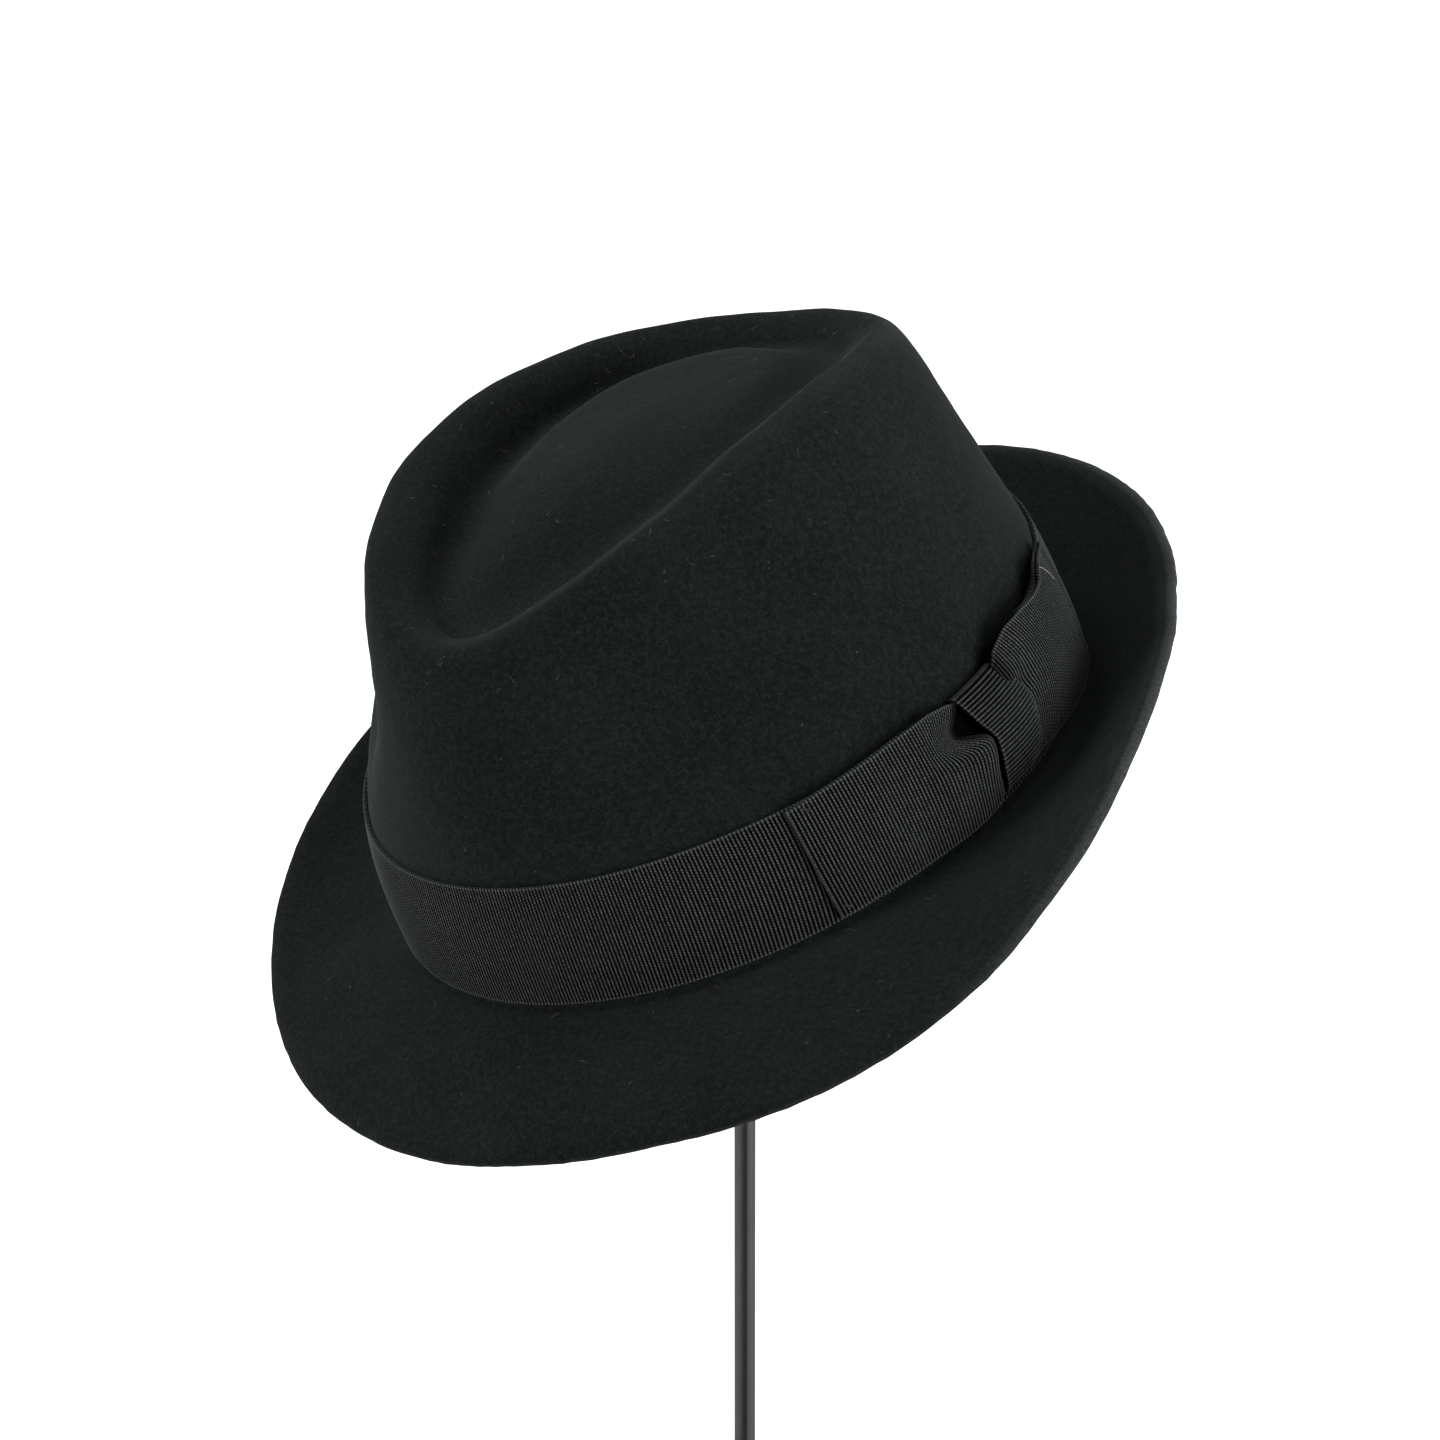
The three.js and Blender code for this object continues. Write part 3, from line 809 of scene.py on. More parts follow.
def finish_geometry(nodes, out, shape, material):
    """Ends a geometry group with plain geometry in its own material"""
    plain = nodes.node("GeometryNodeRealizeInstances", {0: shape}).outputs[0]
    paint = nodes.node("GeometryNodeSetMaterial", {"Geometry": plain, "Material": material})
    nodes.join(paint.outputs[0], out["Geometry"])
    return nodes.tree


def make_weave():
    """Geometry nodes that raise a ribbon's ribs and the beaded lines along its edges"""
    nodes, given, out = new_group(
        "GeometryNodeTree",
        "Ribbon weave",
        [("Geometry", "Geometry"), ("Rib height", "Float"), ("Selvedge height", "Float"),
         ("Ribbon", "Material")],
        [("Geometry", "Geometry")],
    )

    def named(label):
        kind = "GeometryNodeInputNamedAttribute"
        return nodes.node(kind, {"Name": label}, data_type="FLOAT").outputs["Attribute"]

    ridge = nodes.ridge(named("rib"))
    rib = nodes.math("SUBTRACT", nodes.math("POWER", ridge, 0.8), 0.6)
    rib = nodes.product(rib, named("rib_mask"), given["Rib height"])
    bead = nodes.math("ADD", nodes.product(ridge, 0.4), 0.6)
    bead = nodes.product(bead, named("selvedge"), given["Selvedge height"])
    normal = nodes.node("GeometryNodeInputNormal").outputs[0]
    lift = {0: normal, "Scale": nodes.math("ADD", rib, bead)}
    offset = nodes.node("ShaderNodeVectorMath", lift, operation="SCALE").outputs[0]
    shift = {"Geometry": given["Geometry"], "Offset": offset}
    raised = nodes.node("GeometryNodeSetPosition", shift).outputs[0]
    return finish_geometry(nodes, out, raised, given["Ribbon"])


def make_laid_thread():
    """Geometry nodes that give a drawn line the thickness of a thread"""
    nodes, given, out = new_group(
        "GeometryNodeTree",
        "Laid thread",
        [("Geometry", "Geometry"), ("Thickness", "Float"), ("Thread", "Material")],
        [("Geometry", "Geometry")],
    )
    line = nodes.node("GeometryNodeMeshToCurve", {"Mesh": given["Geometry"]}).outputs["Curve"]
    section = {"Resolution": THREAD_SIDES, "Radius": nodes.product(given["Thickness"], 0.5)}
    ring = nodes.node("GeometryNodeCurvePrimitiveCircle", section).outputs["Curve"]
    sweep = {"Curve": line, "Profile Curve": ring, "Fill Caps": True}
    tube = nodes.node("GeometryNodeCurveToMesh", sweep).outputs["Mesh"]
    return finish_geometry(nodes, out, tube, given["Thread"])


WEAVE = make_weave()
LAID_THREAD = make_laid_thread()


def apply_tree(piece, tree, values):
    """Runs a node tree on a piece with the named values and keeps the result as a plain mesh"""
    modifier = piece.modifiers.new(tree.name, "NODES")
    modifier.node_group = tree
    for item in tree.interface.items_tree:
        if item.in_out == "INPUT" and item.name in values:
            modifier[item.identifier] = values[item.name]
    depsgraph = bpy.context.evaluated_depsgraph_get()
    made = bpy.data.meshes.new_from_object(piece.evaluated_get(depsgraph), depsgraph=depsgraph)
    piece.modifiers.remove(modifier)
    old = piece.data
    piece.data = made
    bpy.data.meshes.remove(old)
    made.name = piece.name


# The felt, and the hairs and threads that lie on the hat


def rim_crease(face, angles):
    """The pinched line along the crown's rim, sharpest on the wearer's left and right"""
    first_row, last_row = (BRIM_ROWS + row for row in RIM_ROWS)
    top = first_row + np.argmax(face[:, first_row:last_row, 2], axis=1)
    length = run_length(face, axis=1)
    from_top = length - length[np.arange(len(angles)), top][:, None]
    side = smooth(np.abs(np.sin(angles)), 0.15, 0.55)[:, None]
    return RIM_CREASE * side * np.exp(-(from_top / RIM_CREASE_REACH) ** 2)


def free_share(face, angles):
    """How free the felt is to be uneven: 0 under the ribbon and 1 well away from it"""
    from_foot = np.linalg.norm(face[:, :BRIM_ROWS, :2] - break_plan(angles)[:, None], axis=-1)
    over_ribbon = face[:, BRIM_ROWS:, 2] - BAND_HIGH
    return np.concatenate([ramp(from_foot, 4.0, 18.0), ramp(over_ribbon, 3.0, 15.0)], axis=1)


def cut_face(outer, inner):
    """The rounded and slightly frayed face of the brim's cut edge, from below to above"""
    outward = unit(outer[:, 0] - outer[:, 1])
    rows = []
    for step in np.linspace(0.0, 1.0, CUT_ROWS + 2)[1:-1]:
        swell = CUT_SWELL * math.sin(math.pi * step) ** 0.5
        rows.append(mix(inner[:, 0], outer[:, 0], step) + outward * swell)
    cut = np.stack(rows, axis=1)
    fray = hand_waver(cut, (13, 5.0, 0.05), (14, 1.7, 0.035))
    return cut + outward[:, None] * fray[..., None]


def build_felt(material):
    """One closed skin: down the inside of the crown and brim, round the cut edge and up over the
    outside. Gives back the points and normals of its outer face"""
    angles = np.arange(FELT_COLUMNS) / FELT_COLUMNS * WHOLE_TURN
    even = np.linspace(0.0, 1.0, BRIM_ROWS + 1)[:-1]
    brim = brim_grid(angles, mix(even, smooth(even, 0.0, 1.0), EDGE_PACKING))
    crown = crown_grid(angles, np.linspace(0.0, 1.0, CROWN_ROWS + 1)[:-1])
    outer = np.concatenate([brim, crown], axis=1)
    uneven = hand_waver(outer, (11, 40.0, 0.2), (12, 9.0, 0.05))
    lift = uneven * free_share(outer, angles) + rim_crease(outer, angles)
    outer = outer + round_normals(outer) * lift[..., None]
    normals = round_normals(outer)

    # The cut edge is rolled down, most on the wearer's left round towards the back, where light
    # catches it, and pressed thinner from above
    from_cut = np.linalg.norm(outer - outer[:, :1], axis=-1)
    lit_side = window(np.degrees(angles), LIT_SIDE_FROM_DEG, LIT_SIDE_TO_DEG)[:, None]
    rolled = (0.2 + 0.6 * lit_side) * ramp(from_cut, ROLL_REACH, 0.0) ** 1.5
    outer = outer - normals * rolled[..., None]
    inner = outer - normals * FELT
    pressed = PRESS_DEPTH * ramp(from_cut, PRESS_REACH, 0.0) ** 1.7
    outer = outer - normals * pressed[..., None]
    cut = cut_face(outer, inner)
    inner_rows = np.r_[0:BRIM_ROWS:2, BRIM_ROWS:BRIM_ROWS + CROWN_ROWS:2]
    inside = inner[:, inner_rows][:, ::-1]
    grid = np.concatenate([inside, cut, outer], axis=1)
    top = crown_grid(angles[:1], np.array([1.0]))[0, 0]
    poles = np.array([top - np.array([0.0, 0.0, FELT]), top])

    # Painted light on the brim's edge: the cut is a little paler all round, and on the wearer's left
    # round towards the back the cut, the felt close to it and, faintly, a ragged strip beside it are
    # painted paler where the edge catches the light
    ragged = hand_waver(outer, (15, 7.0, 0.55), (16, 30.0, 0.5))
    strip = STRIP_SHARE * (1.0 - smooth(from_cut + ragged, *STRIP_WIDTH))
    near_cut = lit_side * np.maximum(strip, 1.0 - smooth(from_cut, *PALE_REACH))
    on_cut = (0.15 + 0.85 * lit_side) * np.ones(cut.shape[:2])
    pale_and_lit_edge = np.concatenate([np.zeros(inside.shape[:2]), on_cut, near_cut], axis=1)
    pale_and_lit_edge = np.concatenate([pale_and_lit_edge.ravel(), np.zeros(len(poles))])

    points = np.concatenate([grid.reshape(-1, 3), poles])
    faces = capped_faces(*grid.shape[:2])
    piece = mesh_piece("felt_hat", from_hat(points), faces, {"pale_and_lit_edge": pale_and_lit_edge})
    finish_piece(piece, material, "felt", "felt_body")
    return outer, round_normals(outer)


def lay_threads(name, lines, thickness, material, slot):
    """Threads or hairs along lines in the hat's frame, kept as one plain mesh"""
    points = []
    edges = []
    for line in lines:
        start = len(points)
        points += list(line)
        edges += [(start + i, start + i + 1) for i in range(len(line) - 1)]
    mesh = bpy.data.meshes.new(name)
    mesh.from_pydata(from_hat(np.array(points)).tolist(), edges, [])
    piece = link_piece(name, mesh)
    apply_tree(piece, LAID_THREAD, {"Thickness": thickness * MM, "Thread": material})
    piece.data.polygons.foreach_set("use_smooth", [True] * len(piece.data.polygons))
    finish_piece(piece, material, slot)


def stray_hairs(face, normals, material):
    """Fine pale hairs that lie on the felt, as they do on any dark hat"""
    random = np.random.default_rng(29)
    brim_bare = (8, BRIM_ROWS - 12)
    crown_bare = (BRIM_ROWS + 34, BRIM_ROWS + CROWN_ROWS - 12)
    bare = np.r_[slice(*brim_bare), slice(*crown_bare)]
    lines = []
    for _ in range(HAIR_COUNT):
        i = random.integers(face.shape[0])
        j = random.choice(bare)
        normal = normals[i, j]
        along = unit(np.cross(normal, random.normal(size=3)))
        sideways = np.cross(normal, along)
        length = random.uniform(*HAIR_LENGTH)
        bend = random.uniform(-HAIR_BEND, HAIR_BEND) / length
        run = np.linspace(-0.5, 0.5, 9)[:, None] * length
        lift = HAIR * 0.3 + 0.12 * np.abs(run / length) ** 2
        lines.append(face[i, j] + along * run + sideways * (bend * run ** 2) + normal * lift)
    lay_threads("stray_hairs", lines, HAIR, material, "felt")


# The ribbon and the bow


def edge_distances(width, count):
    """Places across a ribbon, closer together along its two edges"""
    border = np.array([0.0, 0.12, 0.3, 0.5, 0.75, 1.0]) * SELVEDGE_WIDTH
    inner_count = count - 2 * len(border)
    middle = np.linspace(SELVEDGE_WIDTH, width - SELVEDGE_WIDTH, inner_count + 2)[1:-1]
    return np.concatenate([border, middle, width - border[::-1]])


def strip_faces(columns, size, closed):
    """Faces of a ribbon whose columns are closed sections of size points, with its two ends
    closed unless it runs right round"""
    faces = []
    for i in range(columns if closed else columns - 1):
        a = i * size
        b = ((i + 1) % columns) * size
        faces += [(a + j, b + j, b + (j + 1) % size, a + (j + 1) % size) for j in range(size)]
    if not closed:
        end = (columns - 1) * size
        for j in range(size // 2 - 1):
            k = size - 1 - j
            faces.append((j, j + 1, k - 1, k))
            faces.append((end + j + 1, end + j, end + k, end + k - 1))
    return faces


def sheet_piece(name, solid, middle, ribs, across, thickness, closed, material, painted_dark):
    """A ribbon from the grid of its middle face. Columns run along the ribbon or round the hat,
    rows across it, ribs holds the count of ribs at each point, and the last argument darkens the
    cloth and lowers its ribs: painted shade where the cloth lies under the knot, and a small
    even darkening on the knot itself"""
    shape = middle.shape[:2]
    if closed:
        along = np.roll(middle, -1, axis=0) - np.roll(middle, 1, axis=0)
    else:
        along = np.gradient(middle, axis=0)
    normals = unit(np.cross(along, np.gradient(middle, axis=1)))
    half = 0.5 * thickness * np.ones(shape)
    half[:, [0, -1]] *= 0.35
    half[:, [1, -2]] *= 0.8
    outside = middle + normals * half[..., None]
    inside = middle - normals * half[..., None]
    section = np.concatenate([outside, inside[:, ::-1]], axis=1)
    from_edge = np.minimum(across, across[-1] - across)

    def on_both_faces(values):
        values = np.broadcast_to(values, shape)
        return np.concatenate([values, values[:, ::-1]], axis=1)

    attributes = {
        "rib": on_both_faces(ribs),
        "rib_mask": on_both_faces(smooth(from_edge, 0.15, SELVEDGE_WIDTH) * (1.0 - painted_dark)),
        "selvedge": on_both_faces(window(from_edge, (0.0, 0.2), (0.4, SELVEDGE_WIDTH))),
        "thread": on_both_faces(across),
        "painted_dark": on_both_faces(painted_dark),
    }
    faces = strip_faces(shape[0], section.shape[1], closed)
    piece = mesh_piece(name, from_hat(section.reshape(-1, 3)), faces, attributes)
    heights = {"Rib height": RIB_HEIGHT * MM, "Selvedge height": SELVEDGE_HEIGHT * MM}
    apply_tree(piece, WEAVE, {**heights, "Ribbon": material})
    finish_piece(piece, material, "ribbon", solid)


def build_band(wall, material):
    """The ribbon round the crown, its ribs evenly spaced along its middle"""
    across = edge_distances(BAND_HIGH - BAND_LOW, 22)
    coarse = np.linspace(0.0, 360.0, 721)
    middle_height = 16.0
    lengths = run_length(
        wall.at(coarse, np.full_like(coarse, middle_height), np.full_like(coarse, RIBBON_GAP))
    )
    columns = round(lengths[-1] / BAND_RIB_PITCH) * COLUMNS_PER_RIB
    column = np.arange(columns)
    degrees = np.interp(column / columns * lengths[-1], lengths, coarse) + BAND_SEAM_DEG
    degrees, heights = np.meshgrid(degrees, BAND_LOW + across, indexing="ij")
    middle = wall.at(degrees, heights, np.full(degrees.shape, RIBBON_GAP + 0.5 * RIBBON))
    # Painted shade on the band where it runs under the knot
    painted_dark = window(degrees % 360.0, UNDER_KNOT_FROM_DEG, UNDER_KNOT_TO_DEG)
    painted_dark = painted_dark * smooth(heights, *UNDER_KNOT_HEIGHT)
    ribs = (column / COLUMNS_PER_RIB)[:, None]
    sheet_piece("ribbon", "ribbon_band", middle, ribs, across, RIBBON, True, material, painted_dark)


def table(pairs, at, soften):
    """A value read from a table of pairs, its corners softened over a short reach"""
    keys, values = zip(*pairs)
    reads = [np.interp(at + soften * step, keys, values) for step in (-1.0, -0.5, 0.0, 0.5, 1.0)]
    return sum(reads) / len(reads)


def dent(along, across, centre, reach, depth):
    """A soft hollow pressed into a loop"""
    off_along = (along - centre[0]) / reach[0]
    off_across = (across - centre[1]) / reach[1]
    return depth * np.exp(-off_along ** 2 - off_across ** 2)


def front_degrees(to_knot, share):
    """The front loop's rib lines: straight at the fold, drawn round the pocket at the knot"""
    slant = FRONT_SLANT_DEG * (share + 0.3 * np.sin(math.pi * share))
    line = FRONT_FAR_DEG + (FRONT_END_DEG - FRONT_FAR_DEG) * to_knot + (1.0 - to_knot) * slant
    pocket = smooth(share, 0.54, 0.76) * (1.0 - 0.55 * smooth(share, 0.80, 1.0))
    nose = 0.5 * np.exp(-((share - 0.50) / 0.12) ** 2) - 0.3 * np.exp(-((share - 0.2) / 0.2) ** 2)
    return line + (nose - 4.7 * pocket) * smooth(to_knot, 0.60, 1.0) ** 1.3


def front_swell(to_knot, share):
    """How far the front loop's upper layer rises over its lower one"""
    rise = 0.5 * smooth(to_knot, 0.0, 0.08)
    rise = rise + 2.3 * smooth(to_knot, 0.5, 0.9) * (0.35 + 0.65 * arch(share, 0.6))
    rise = rise + dent(to_knot, share, centre=(0.93, 0.42), reach=(0.07, 0.2), depth=0.9)
    rise = rise - dent(to_knot, share, centre=(0.97, 0.80), reach=(0.10, 0.13), depth=0.8)
    roll_start = mix(0.945, 0.84, smooth(share, 0.56, 0.72))
    roll = ramp(to_knot, roll_start, 1.0)
    return rise * np.sqrt(np.clip(1.0 - roll ** 2, 0.0, 1.0)) - 0.35 * roll


def rear_degrees(to_knot, share):
    """The rear loop's rib lines, bowed away from the knot"""
    line = REAR_FAR_DEG + (REAR_END_DEG - REAR_FAR_DEG) * to_knot
    bow = 3.0 * arch(share) * (1.1 - 0.5 * share)
    return line + bow * smooth(to_knot, 0.3, 0.8) * (1.0 - 0.5 * smooth(to_knot, 0.85, 1.0))


def rear_swell(to_knot, share):
    """How far the rear loop's upper layer rises over its lower one"""
    rise = 0.5 * smooth(to_knot, 0.0, 0.08)
    rise = rise + 1.9 * smooth(to_knot, 0.45, 0.85) * (0.5 + 0.5 * arch(share, 0.7))
    rise = rise + dent(to_knot, share, centre=(0.86, 0.86), reach=(0.09, 0.16), depth=0.9)
    rise = rise - dent(to_knot, share, centre=(0.94, 0.60), reach=(0.05, 0.10), depth=1.3)
    stand_off = 3.2 * np.sin(math.pi * np.minimum(1.0, 1.15 * (1.0 - to_knot))) * share
    return rise + stand_off * (1.0 - 0.35 * smooth(to_knot, 0.75, 0.9))


FRONT_LOOP = (front_degrees, FRONT_LOW, FRONT_HIGH, front_swell)
REAR_LOOP = (rear_degrees, REAR_LOW, REAR_HIGH, rear_swell)


def loop_face(wall, loop, to_knot, share, layer, above=0.0):
    """Points of a loop: to_knot runs from its fold to the knot, share from its lower edge to its
    upper one, and layer is 1 on its upper layer and -1 on its lower one"""
    degrees, low, high, swell = loop
    low_edge = table(low, degrees(to_knot, np.zeros_like(share)), 1.0)
    high_edge = table(high, degrees(to_knot, np.ones_like(share)), 0.8)
    rise = swell(to_knot, share)
    lift = CLEAR + 0.8 + 0.5 * layer + np.clip(layer, 0.0, 1.0) * rise
    follow = 0.97 * np.clip(-layer, 0.0, 1.0) * smooth(share, 0.2, 0.9)
    lift = lift + follow * np.maximum(rise - 0.3, 0.0) + above
    return wall.at(degrees(to_knot, share), mix(low_edge, high_edge, share), lift)


def build_loop(name, solid, wall, loop, material):
    """A loop of the bow: a strip that runs out from the knot, folds back and returns on top"""
    across = edge_distances(LOOP_WIDTH, 44)
    under = np.linspace(0.97, LOOP_FOLD_SHARE, 40)
    turn = np.linspace(-0.5 * math.pi, 0.5 * math.pi, 11)[1:-1]
    over = np.linspace(LOOP_FOLD_SHARE, 1.0, 440) ** 0.97
    to_knot = np.concatenate([under, LOOP_FOLD_SHARE * (1.0 - np.cos(turn)), over])
    layer = np.concatenate([np.full(len(under), -1.0), np.sin(turn), np.full(len(over), 1.0)])
    to_knot, share = np.meshgrid(to_knot, across / LOOP_WIDTH, indexing="ij")
    layer = np.broadcast_to(layer[:, None], share.shape)
    middle = loop_face(wall, loop, to_knot, share, layer)
    length = run_length(middle[:, len(across) // 3])
    fold = len(under) + len(turn) // 2
    ribs = ((length - length[fold]) / LOOP_RIB_PITCH)[:, None]
    # Painted shade: the upper layer darkens towards the pocket by the knot, half as much on the rear
    # loop, and the lower layer darkens where it runs in under the knot
    shade = smooth(to_knot, 0.93, 1.0) * smooth(share, 0.5, 0.7)
    if loop is REAR_LOOP:
        shade = 0.5 * shade
    painted_dark = np.where(layer < 0.0, smooth(to_knot, 0.55, 0.8), shade)
    if loop is REAR_LOOP:
        middle, ribs, painted_dark = middle[::-1], ribs[::-1], painted_dark[::-1]
    sheet_piece(name, solid, middle, ribs, across, LAYER, False, material, painted_dark)


def build_knot(wall, material):
    """The short strip over the gathered loops, its ribs lying along the ribbon"""
    across = edge_distances(KNOT_WIDTH, 34)
    place, share = np.meshgrid(across / KNOT_WIDTH, np.linspace(0.0, 1.0, 240), indexing="ij")
    heights = mix(KNOT_LOW, KNOT_HIGH, share)
    degrees = mix(table(KNOT_LEFT, heights, 1.0), table(KNOT_RIGHT, heights, 1.0), place)
    rise = (KNOT_RISE + 0.6 * np.sin(math.pi * place)) * arch(share, 0.3)
    middle = wall.at(degrees, heights, CLEAR + rise + 0.5 * RIBBON)
    ribs = run_length(middle[len(across) // 2]) / KNOT_RIB_PITCH
    middle = np.swapaxes(middle, 0, 1)[:, ::-1]
    sheet_piece(
        "bow_knot_strip", "bow_knot", middle, ribs[:, None], across, KNOT_THICKNESS, False,
        material, KNOT_SHADE,
    )


def tack(wall, loop, to_knot, share):
    """A small stitch in the shape of an S that lies on a loop"""
    run = np.linspace(0.0, 1.0, 15)
    along = to_knot + 0.012 * np.sin(WHOLE_TURN * run)
    across = share + 0.024 * (2.0 * run - 1.0)
    return loop_face(wall, loop, along, across, 1.0, 0.38 + 0.12 * np.sin(math.pi * run))


def build_tacks(wall, material):
    """The stitches by the loops' folds"""
    lines = [
        tack(wall, FRONT_LOOP, 0.075, 0.945),
        tack(wall, FRONT_LOOP, 0.045, 0.085),
        tack(wall, REAR_LOOP, 0.06, 0.93),
        tack(wall, REAR_LOOP, 0.06, 0.08),
    ]
    lay_threads("bow_tacks", lines, TACK_THREAD, material, "ribbon")


def hair_on_bow(wall, material):
    """The one long hair that has settled on the rear loop"""
    run = np.linspace(0.0, 1.0, 15)
    to_knot = mix(0.335, 0.18, run) - 0.010 * np.sin(math.pi * run)
    line = loop_face(wall, REAR_LOOP, to_knot, mix(0.995, 0.775, run), 1.0, 0.5)
    lay_threads("hair_on_bow", [line], LONG_HAIR, material, "ribbon")


# The stand


def lathe(name, solid, profile, steps, material, painted_reflection_deg=None):
    """A closed turned piece from (radius, height) pairs that start and end on the rod's axis. A
    dark streak of painted reflection may run up it"""
    radius, height = np.array(profile[1:-1]).T
    rows = len(radius)
    angles = np.arange(steps) / steps * WHOLE_TURN
    across = [np.outer(np.cos(angles), radius), np.outer(np.sin(angles), radius)]
    grid = np.stack([*across, np.tile(height, (steps, 1))], axis=-1)
    points = np.concatenate([grid.reshape(-1, 3), [[0, 0, profile[0][1]], [0, 0, profile[-1][1]]]])
    painted_reflection = np.zeros(len(points))
    # Painted reflection: a dark streak up the rod that fades out to each side
    if painted_reflection_deg is not None:
        turn = (np.degrees(angles) - painted_reflection_deg + 180.0) % 360.0 - 180.0
        spread = np.where(turn < 0.0, PAINTED_REFLECTION_LEFT_SPREAD_DEG, PAINTED_REFLECTION_RIGHT_SPREAD_DEG)
        painted_reflection[:steps * rows] = np.repeat(np.exp(-(turn / spread) ** 2), rows)
    piece = mesh_piece(name, points, capped_faces(steps, rows), {"painted_reflection": painted_reflection})
    finish_piece(piece, material, "stand_metal", solid)


def rounded(corner, radius, start_deg, end_deg, steps):
    """Points of a small round on a turned piece's corner"""
    turn = np.radians(np.linspace(start_deg, end_deg, steps))
    return [(corner[0] + radius * math.cos(t), corner[1] + radius * math.sin(t)) for t in turn]


def low_round(radius, low, bevel):
    """The flat underside of a turned piece and the round on its lower edge"""
    inner = radius - bevel
    return [(0.0, low), (inner, low), *rounded((inner, low + bevel), bevel, -75, 0, 4)]


def build_stand(material):
    low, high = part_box("stand_foot")
    radius = high[0]
    bevel = FOOT_BEVEL * MM
    profile = low_round(radius, low[2], FOOT_LOW_BEVEL * MM)
    profile += rounded((radius - bevel, high[2] - bevel), bevel, 0, 90, 8)
    profile += [(radius * 0.6, high[2]), (FOOT_MIDDLE * MM, high[2]), (0.0, high[2])]
    lathe("stand_plate", "stand_foot", profile, 128, material)

    low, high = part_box("stand_rod")
    radius = high[0]
    bevel = ROD_LOW_BEVEL * MM
    profile = [(0.0, low[2]), (radius - bevel, low[2]), (radius, low[2] + bevel)]
    profile += [(radius, z) for z in np.linspace(low[2], high[2], 12)[1:-1]]
    bevel = ROD_HIGH_BEVEL * MM
    profile += [(radius, high[2] - bevel), (radius - bevel, high[2]), (0.0, high[2])]
    lathe("stand_post", "stand_rod", profile, 64, material, PAINTED_REFLECTION_DEG)

    low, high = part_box("stand_top")
    radius = high[0]
    dome = high[2] - low[2] - PAD_SIDE * MM
    profile = low_round(radius, low[2], PAD_BEVEL * MM)
    profile += [(radius * share, high[2] - dome * share ** 2) for share in np.linspace(1.0, 0.0, 25)]
    lathe("stand_pad", "stand_top", profile, 96, material)


# Build the hat on its stand

felt = felt_material()
ribbon = ribbon_material()
steel = steel_material()
pale_hair = thread_material("Pale hair", rgb(0.08, 0.08, 0.077), rgb(0.30, 0.30, 0.29))
white_hair = thread_material("White hair", rgb(0.45, 0.45, 0.44), rgb(0.75, 0.75, 0.73))
cotton = thread_material("Black cotton thread", rgb(0.02, 0.021, 0.021), rgb(0.09, 0.095, 0.093))

crown_wall = Wall()
felt_face, felt_normals = build_felt(felt)
stray_hairs(felt_face, felt_normals, pale_hair)
build_band(crown_wall, ribbon)
build_loop("bow_front", "bow_front_loop", crown_wall, FRONT_LOOP, ribbon)
build_loop("bow_rear", "bow_rear_loop", crown_wall, REAR_LOOP, ribbon)
build_knot(crown_wall, ribbon)
build_tacks(crown_wall, cotton)
hair_on_bow(crown_wall, white_hair)
build_stand(steel)


# The floor, the light and the camera


def build_floor():
    half = FLOOR_HALF
    corners = [(-half, -half, 0), (half, -half, 0), (half, half, 0), (-half, half, 0)]
    mesh = bpy.data.meshes.new("floor")
    mesh.from_pydata(corners, [], [(0, 1, 2, 3)])
    floor = link_piece("floor", mesh)
    material, nodes, paper = new_material("White paper sweep")
    tone = nodes.noise(nodes.object_place(), 3.0)
    nodes.fill(paper, {
        "Base Color": nodes.blend(tone, rgb(0.86, 0.86, 0.86), rgb(0.9, 0.9, 0.9)),
        "Roughness": 0.9,
        "Specular IOR Level": 0.1,
        "Emission Color": rgb(1.0, 1.0, 1.0),
        "Emission Strength": nodes.node("ShaderNodeLightPath").outputs["Is Camera Ray"],
    })
    mesh.materials.append(material)


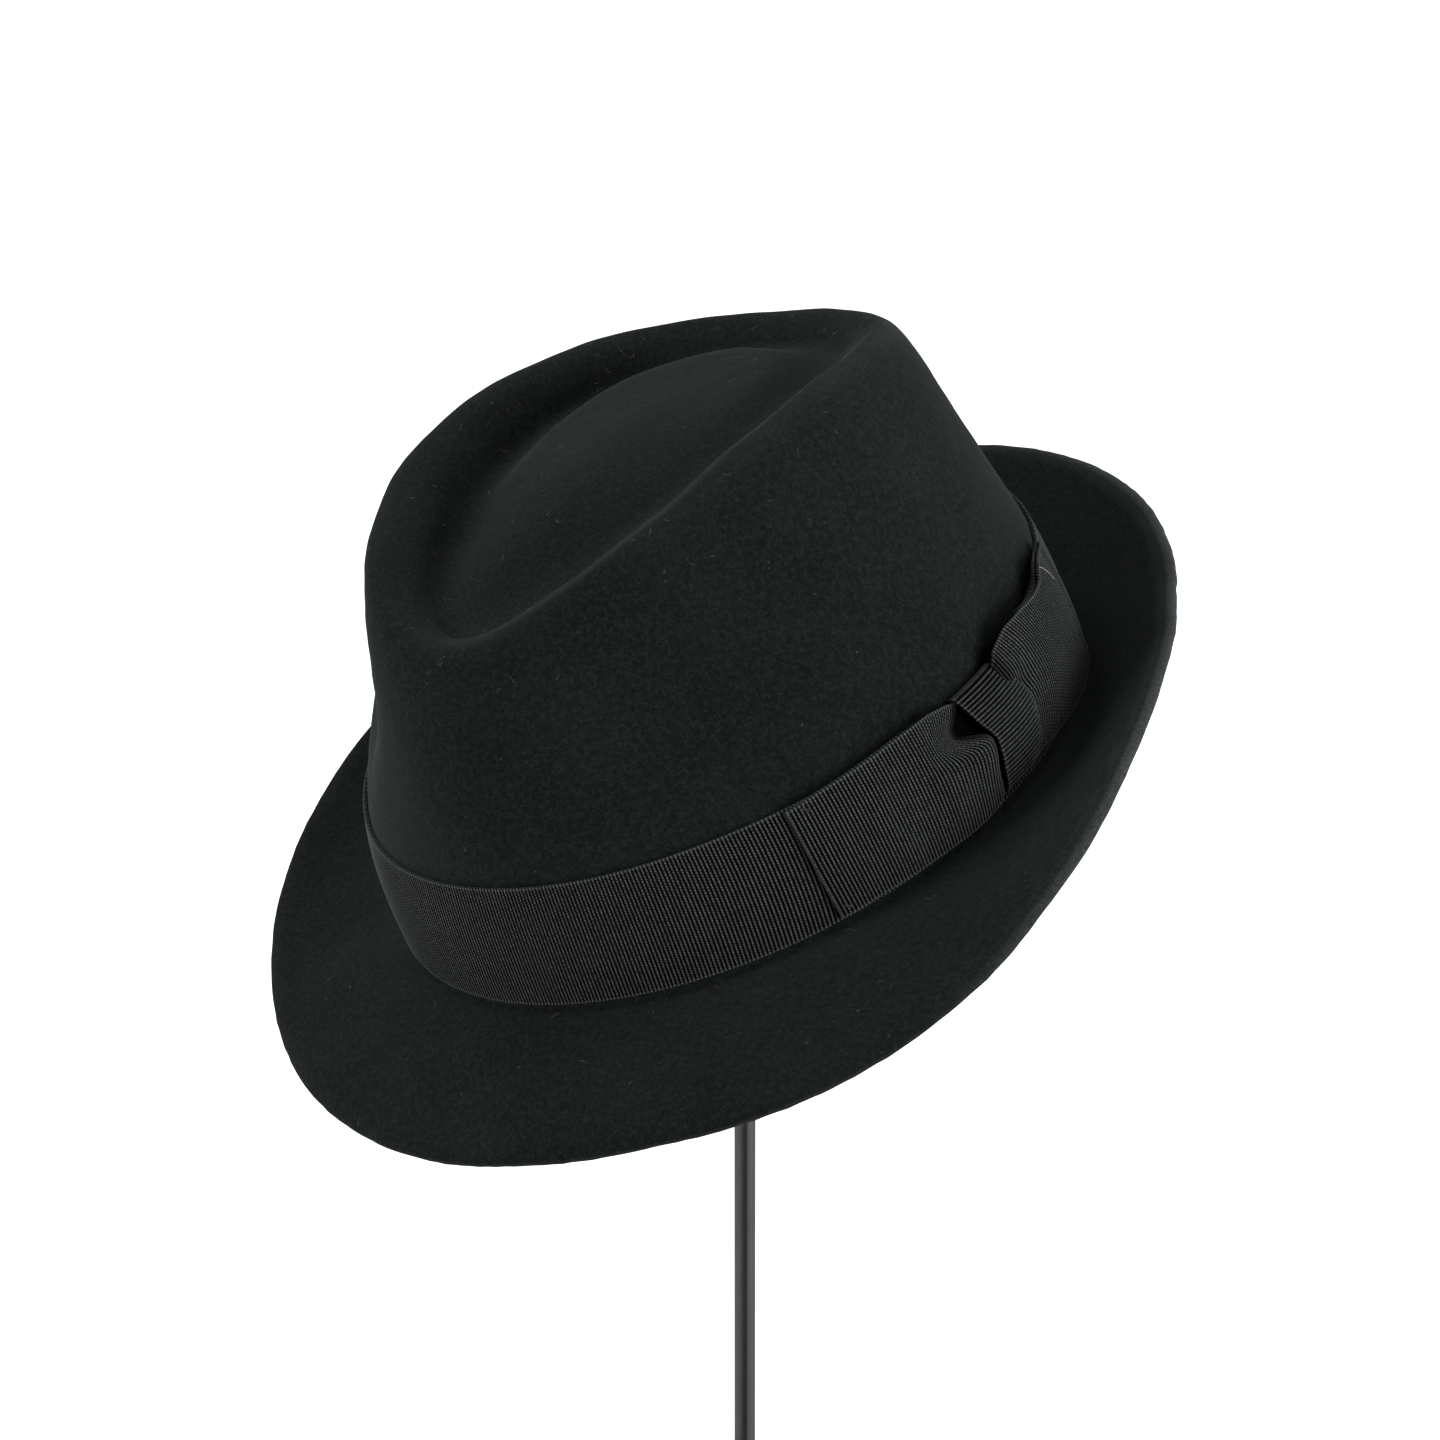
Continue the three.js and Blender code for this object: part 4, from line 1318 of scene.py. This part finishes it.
def build_world():
    """A world that is white to the camera and gives next to no light"""
    world = bpy.data.worlds.new("Studio")
    world.use_nodes = True
    nodes = Nodes(world.node_tree)
    seen = nodes.node("ShaderNodeLightPath").outputs["Is Camera Ray"]
    strength = nodes.range(seen, 0.0, 1.0, to_low=SKY_LIGHT)
    backdrop = world.node_tree.nodes["Background"]
    nodes.fill(backdrop, {"Color": rgb(1.0, 1.0, 1.0), "Strength": strength})
    bpy.context.scene.world = world


def aim_at(target, name, data, azimuth, rise, distance):
    """Places a lamp or a camera off a point, azimuth 0 in front of it, and turns it to look there"""
    level = math.cos(rise)
    away = Vector((math.sin(azimuth) * level, -math.cos(azimuth) * level, math.sin(rise)))
    aimed = link_piece(name, data)
    aimed.location = target + away * distance
    aimed.rotation_euler = away.to_track_quat("Z", "Y").to_euler()
    return aimed


def build_softbox(name, turn_deg, rise_deg, power):
    """A soft light aimed at the hat, placed by its turn from the camera and its rise"""
    light = bpy.data.lights.new(name, "AREA")
    light.energy = power
    light.shape = "DISK"
    light.size = SOFTBOX_SIZE
    azimuth = CAMERA_AZIMUTH + math.radians(turn_deg)
    aim_at(HAT_MIDDLE, name, light, azimuth, math.radians(rise_deg), SOFTBOX_DISTANCE)


def build_camera():
    """The camera as the photograph's: its place, focal length and off-centre frame"""
    lens = bpy.data.cameras.new("camera")
    lens.sensor_width = SENSOR_MM
    lens.sensor_fit = "HORIZONTAL"
    lens.lens = FOCAL_PIXELS / IMAGE_SIZE * SENSOR_MM
    lens.shift_x = -(CENTRE_PIXEL[0] - IMAGE_SIZE / 2) / IMAGE_SIZE
    lens.shift_y = (CENTRE_PIXEL[1] - IMAGE_SIZE / 2) / IMAGE_SIZE
    lens.clip_start = 0.05
    lens.clip_end = 50.0
    target = Vector(HAT_PLACE) * MM
    bpy.context.scene.camera = aim_at(
        target, "camera", lens, CAMERA_AZIMUTH, CAMERA_ELEVATION, CAMERA_DISTANCE
    )


build_floor()
build_world()
for softbox in SOFTBOXES:
    build_softbox(*softbox)
build_camera()
bpy.context.scene.view_settings.view_transform = "Standard"
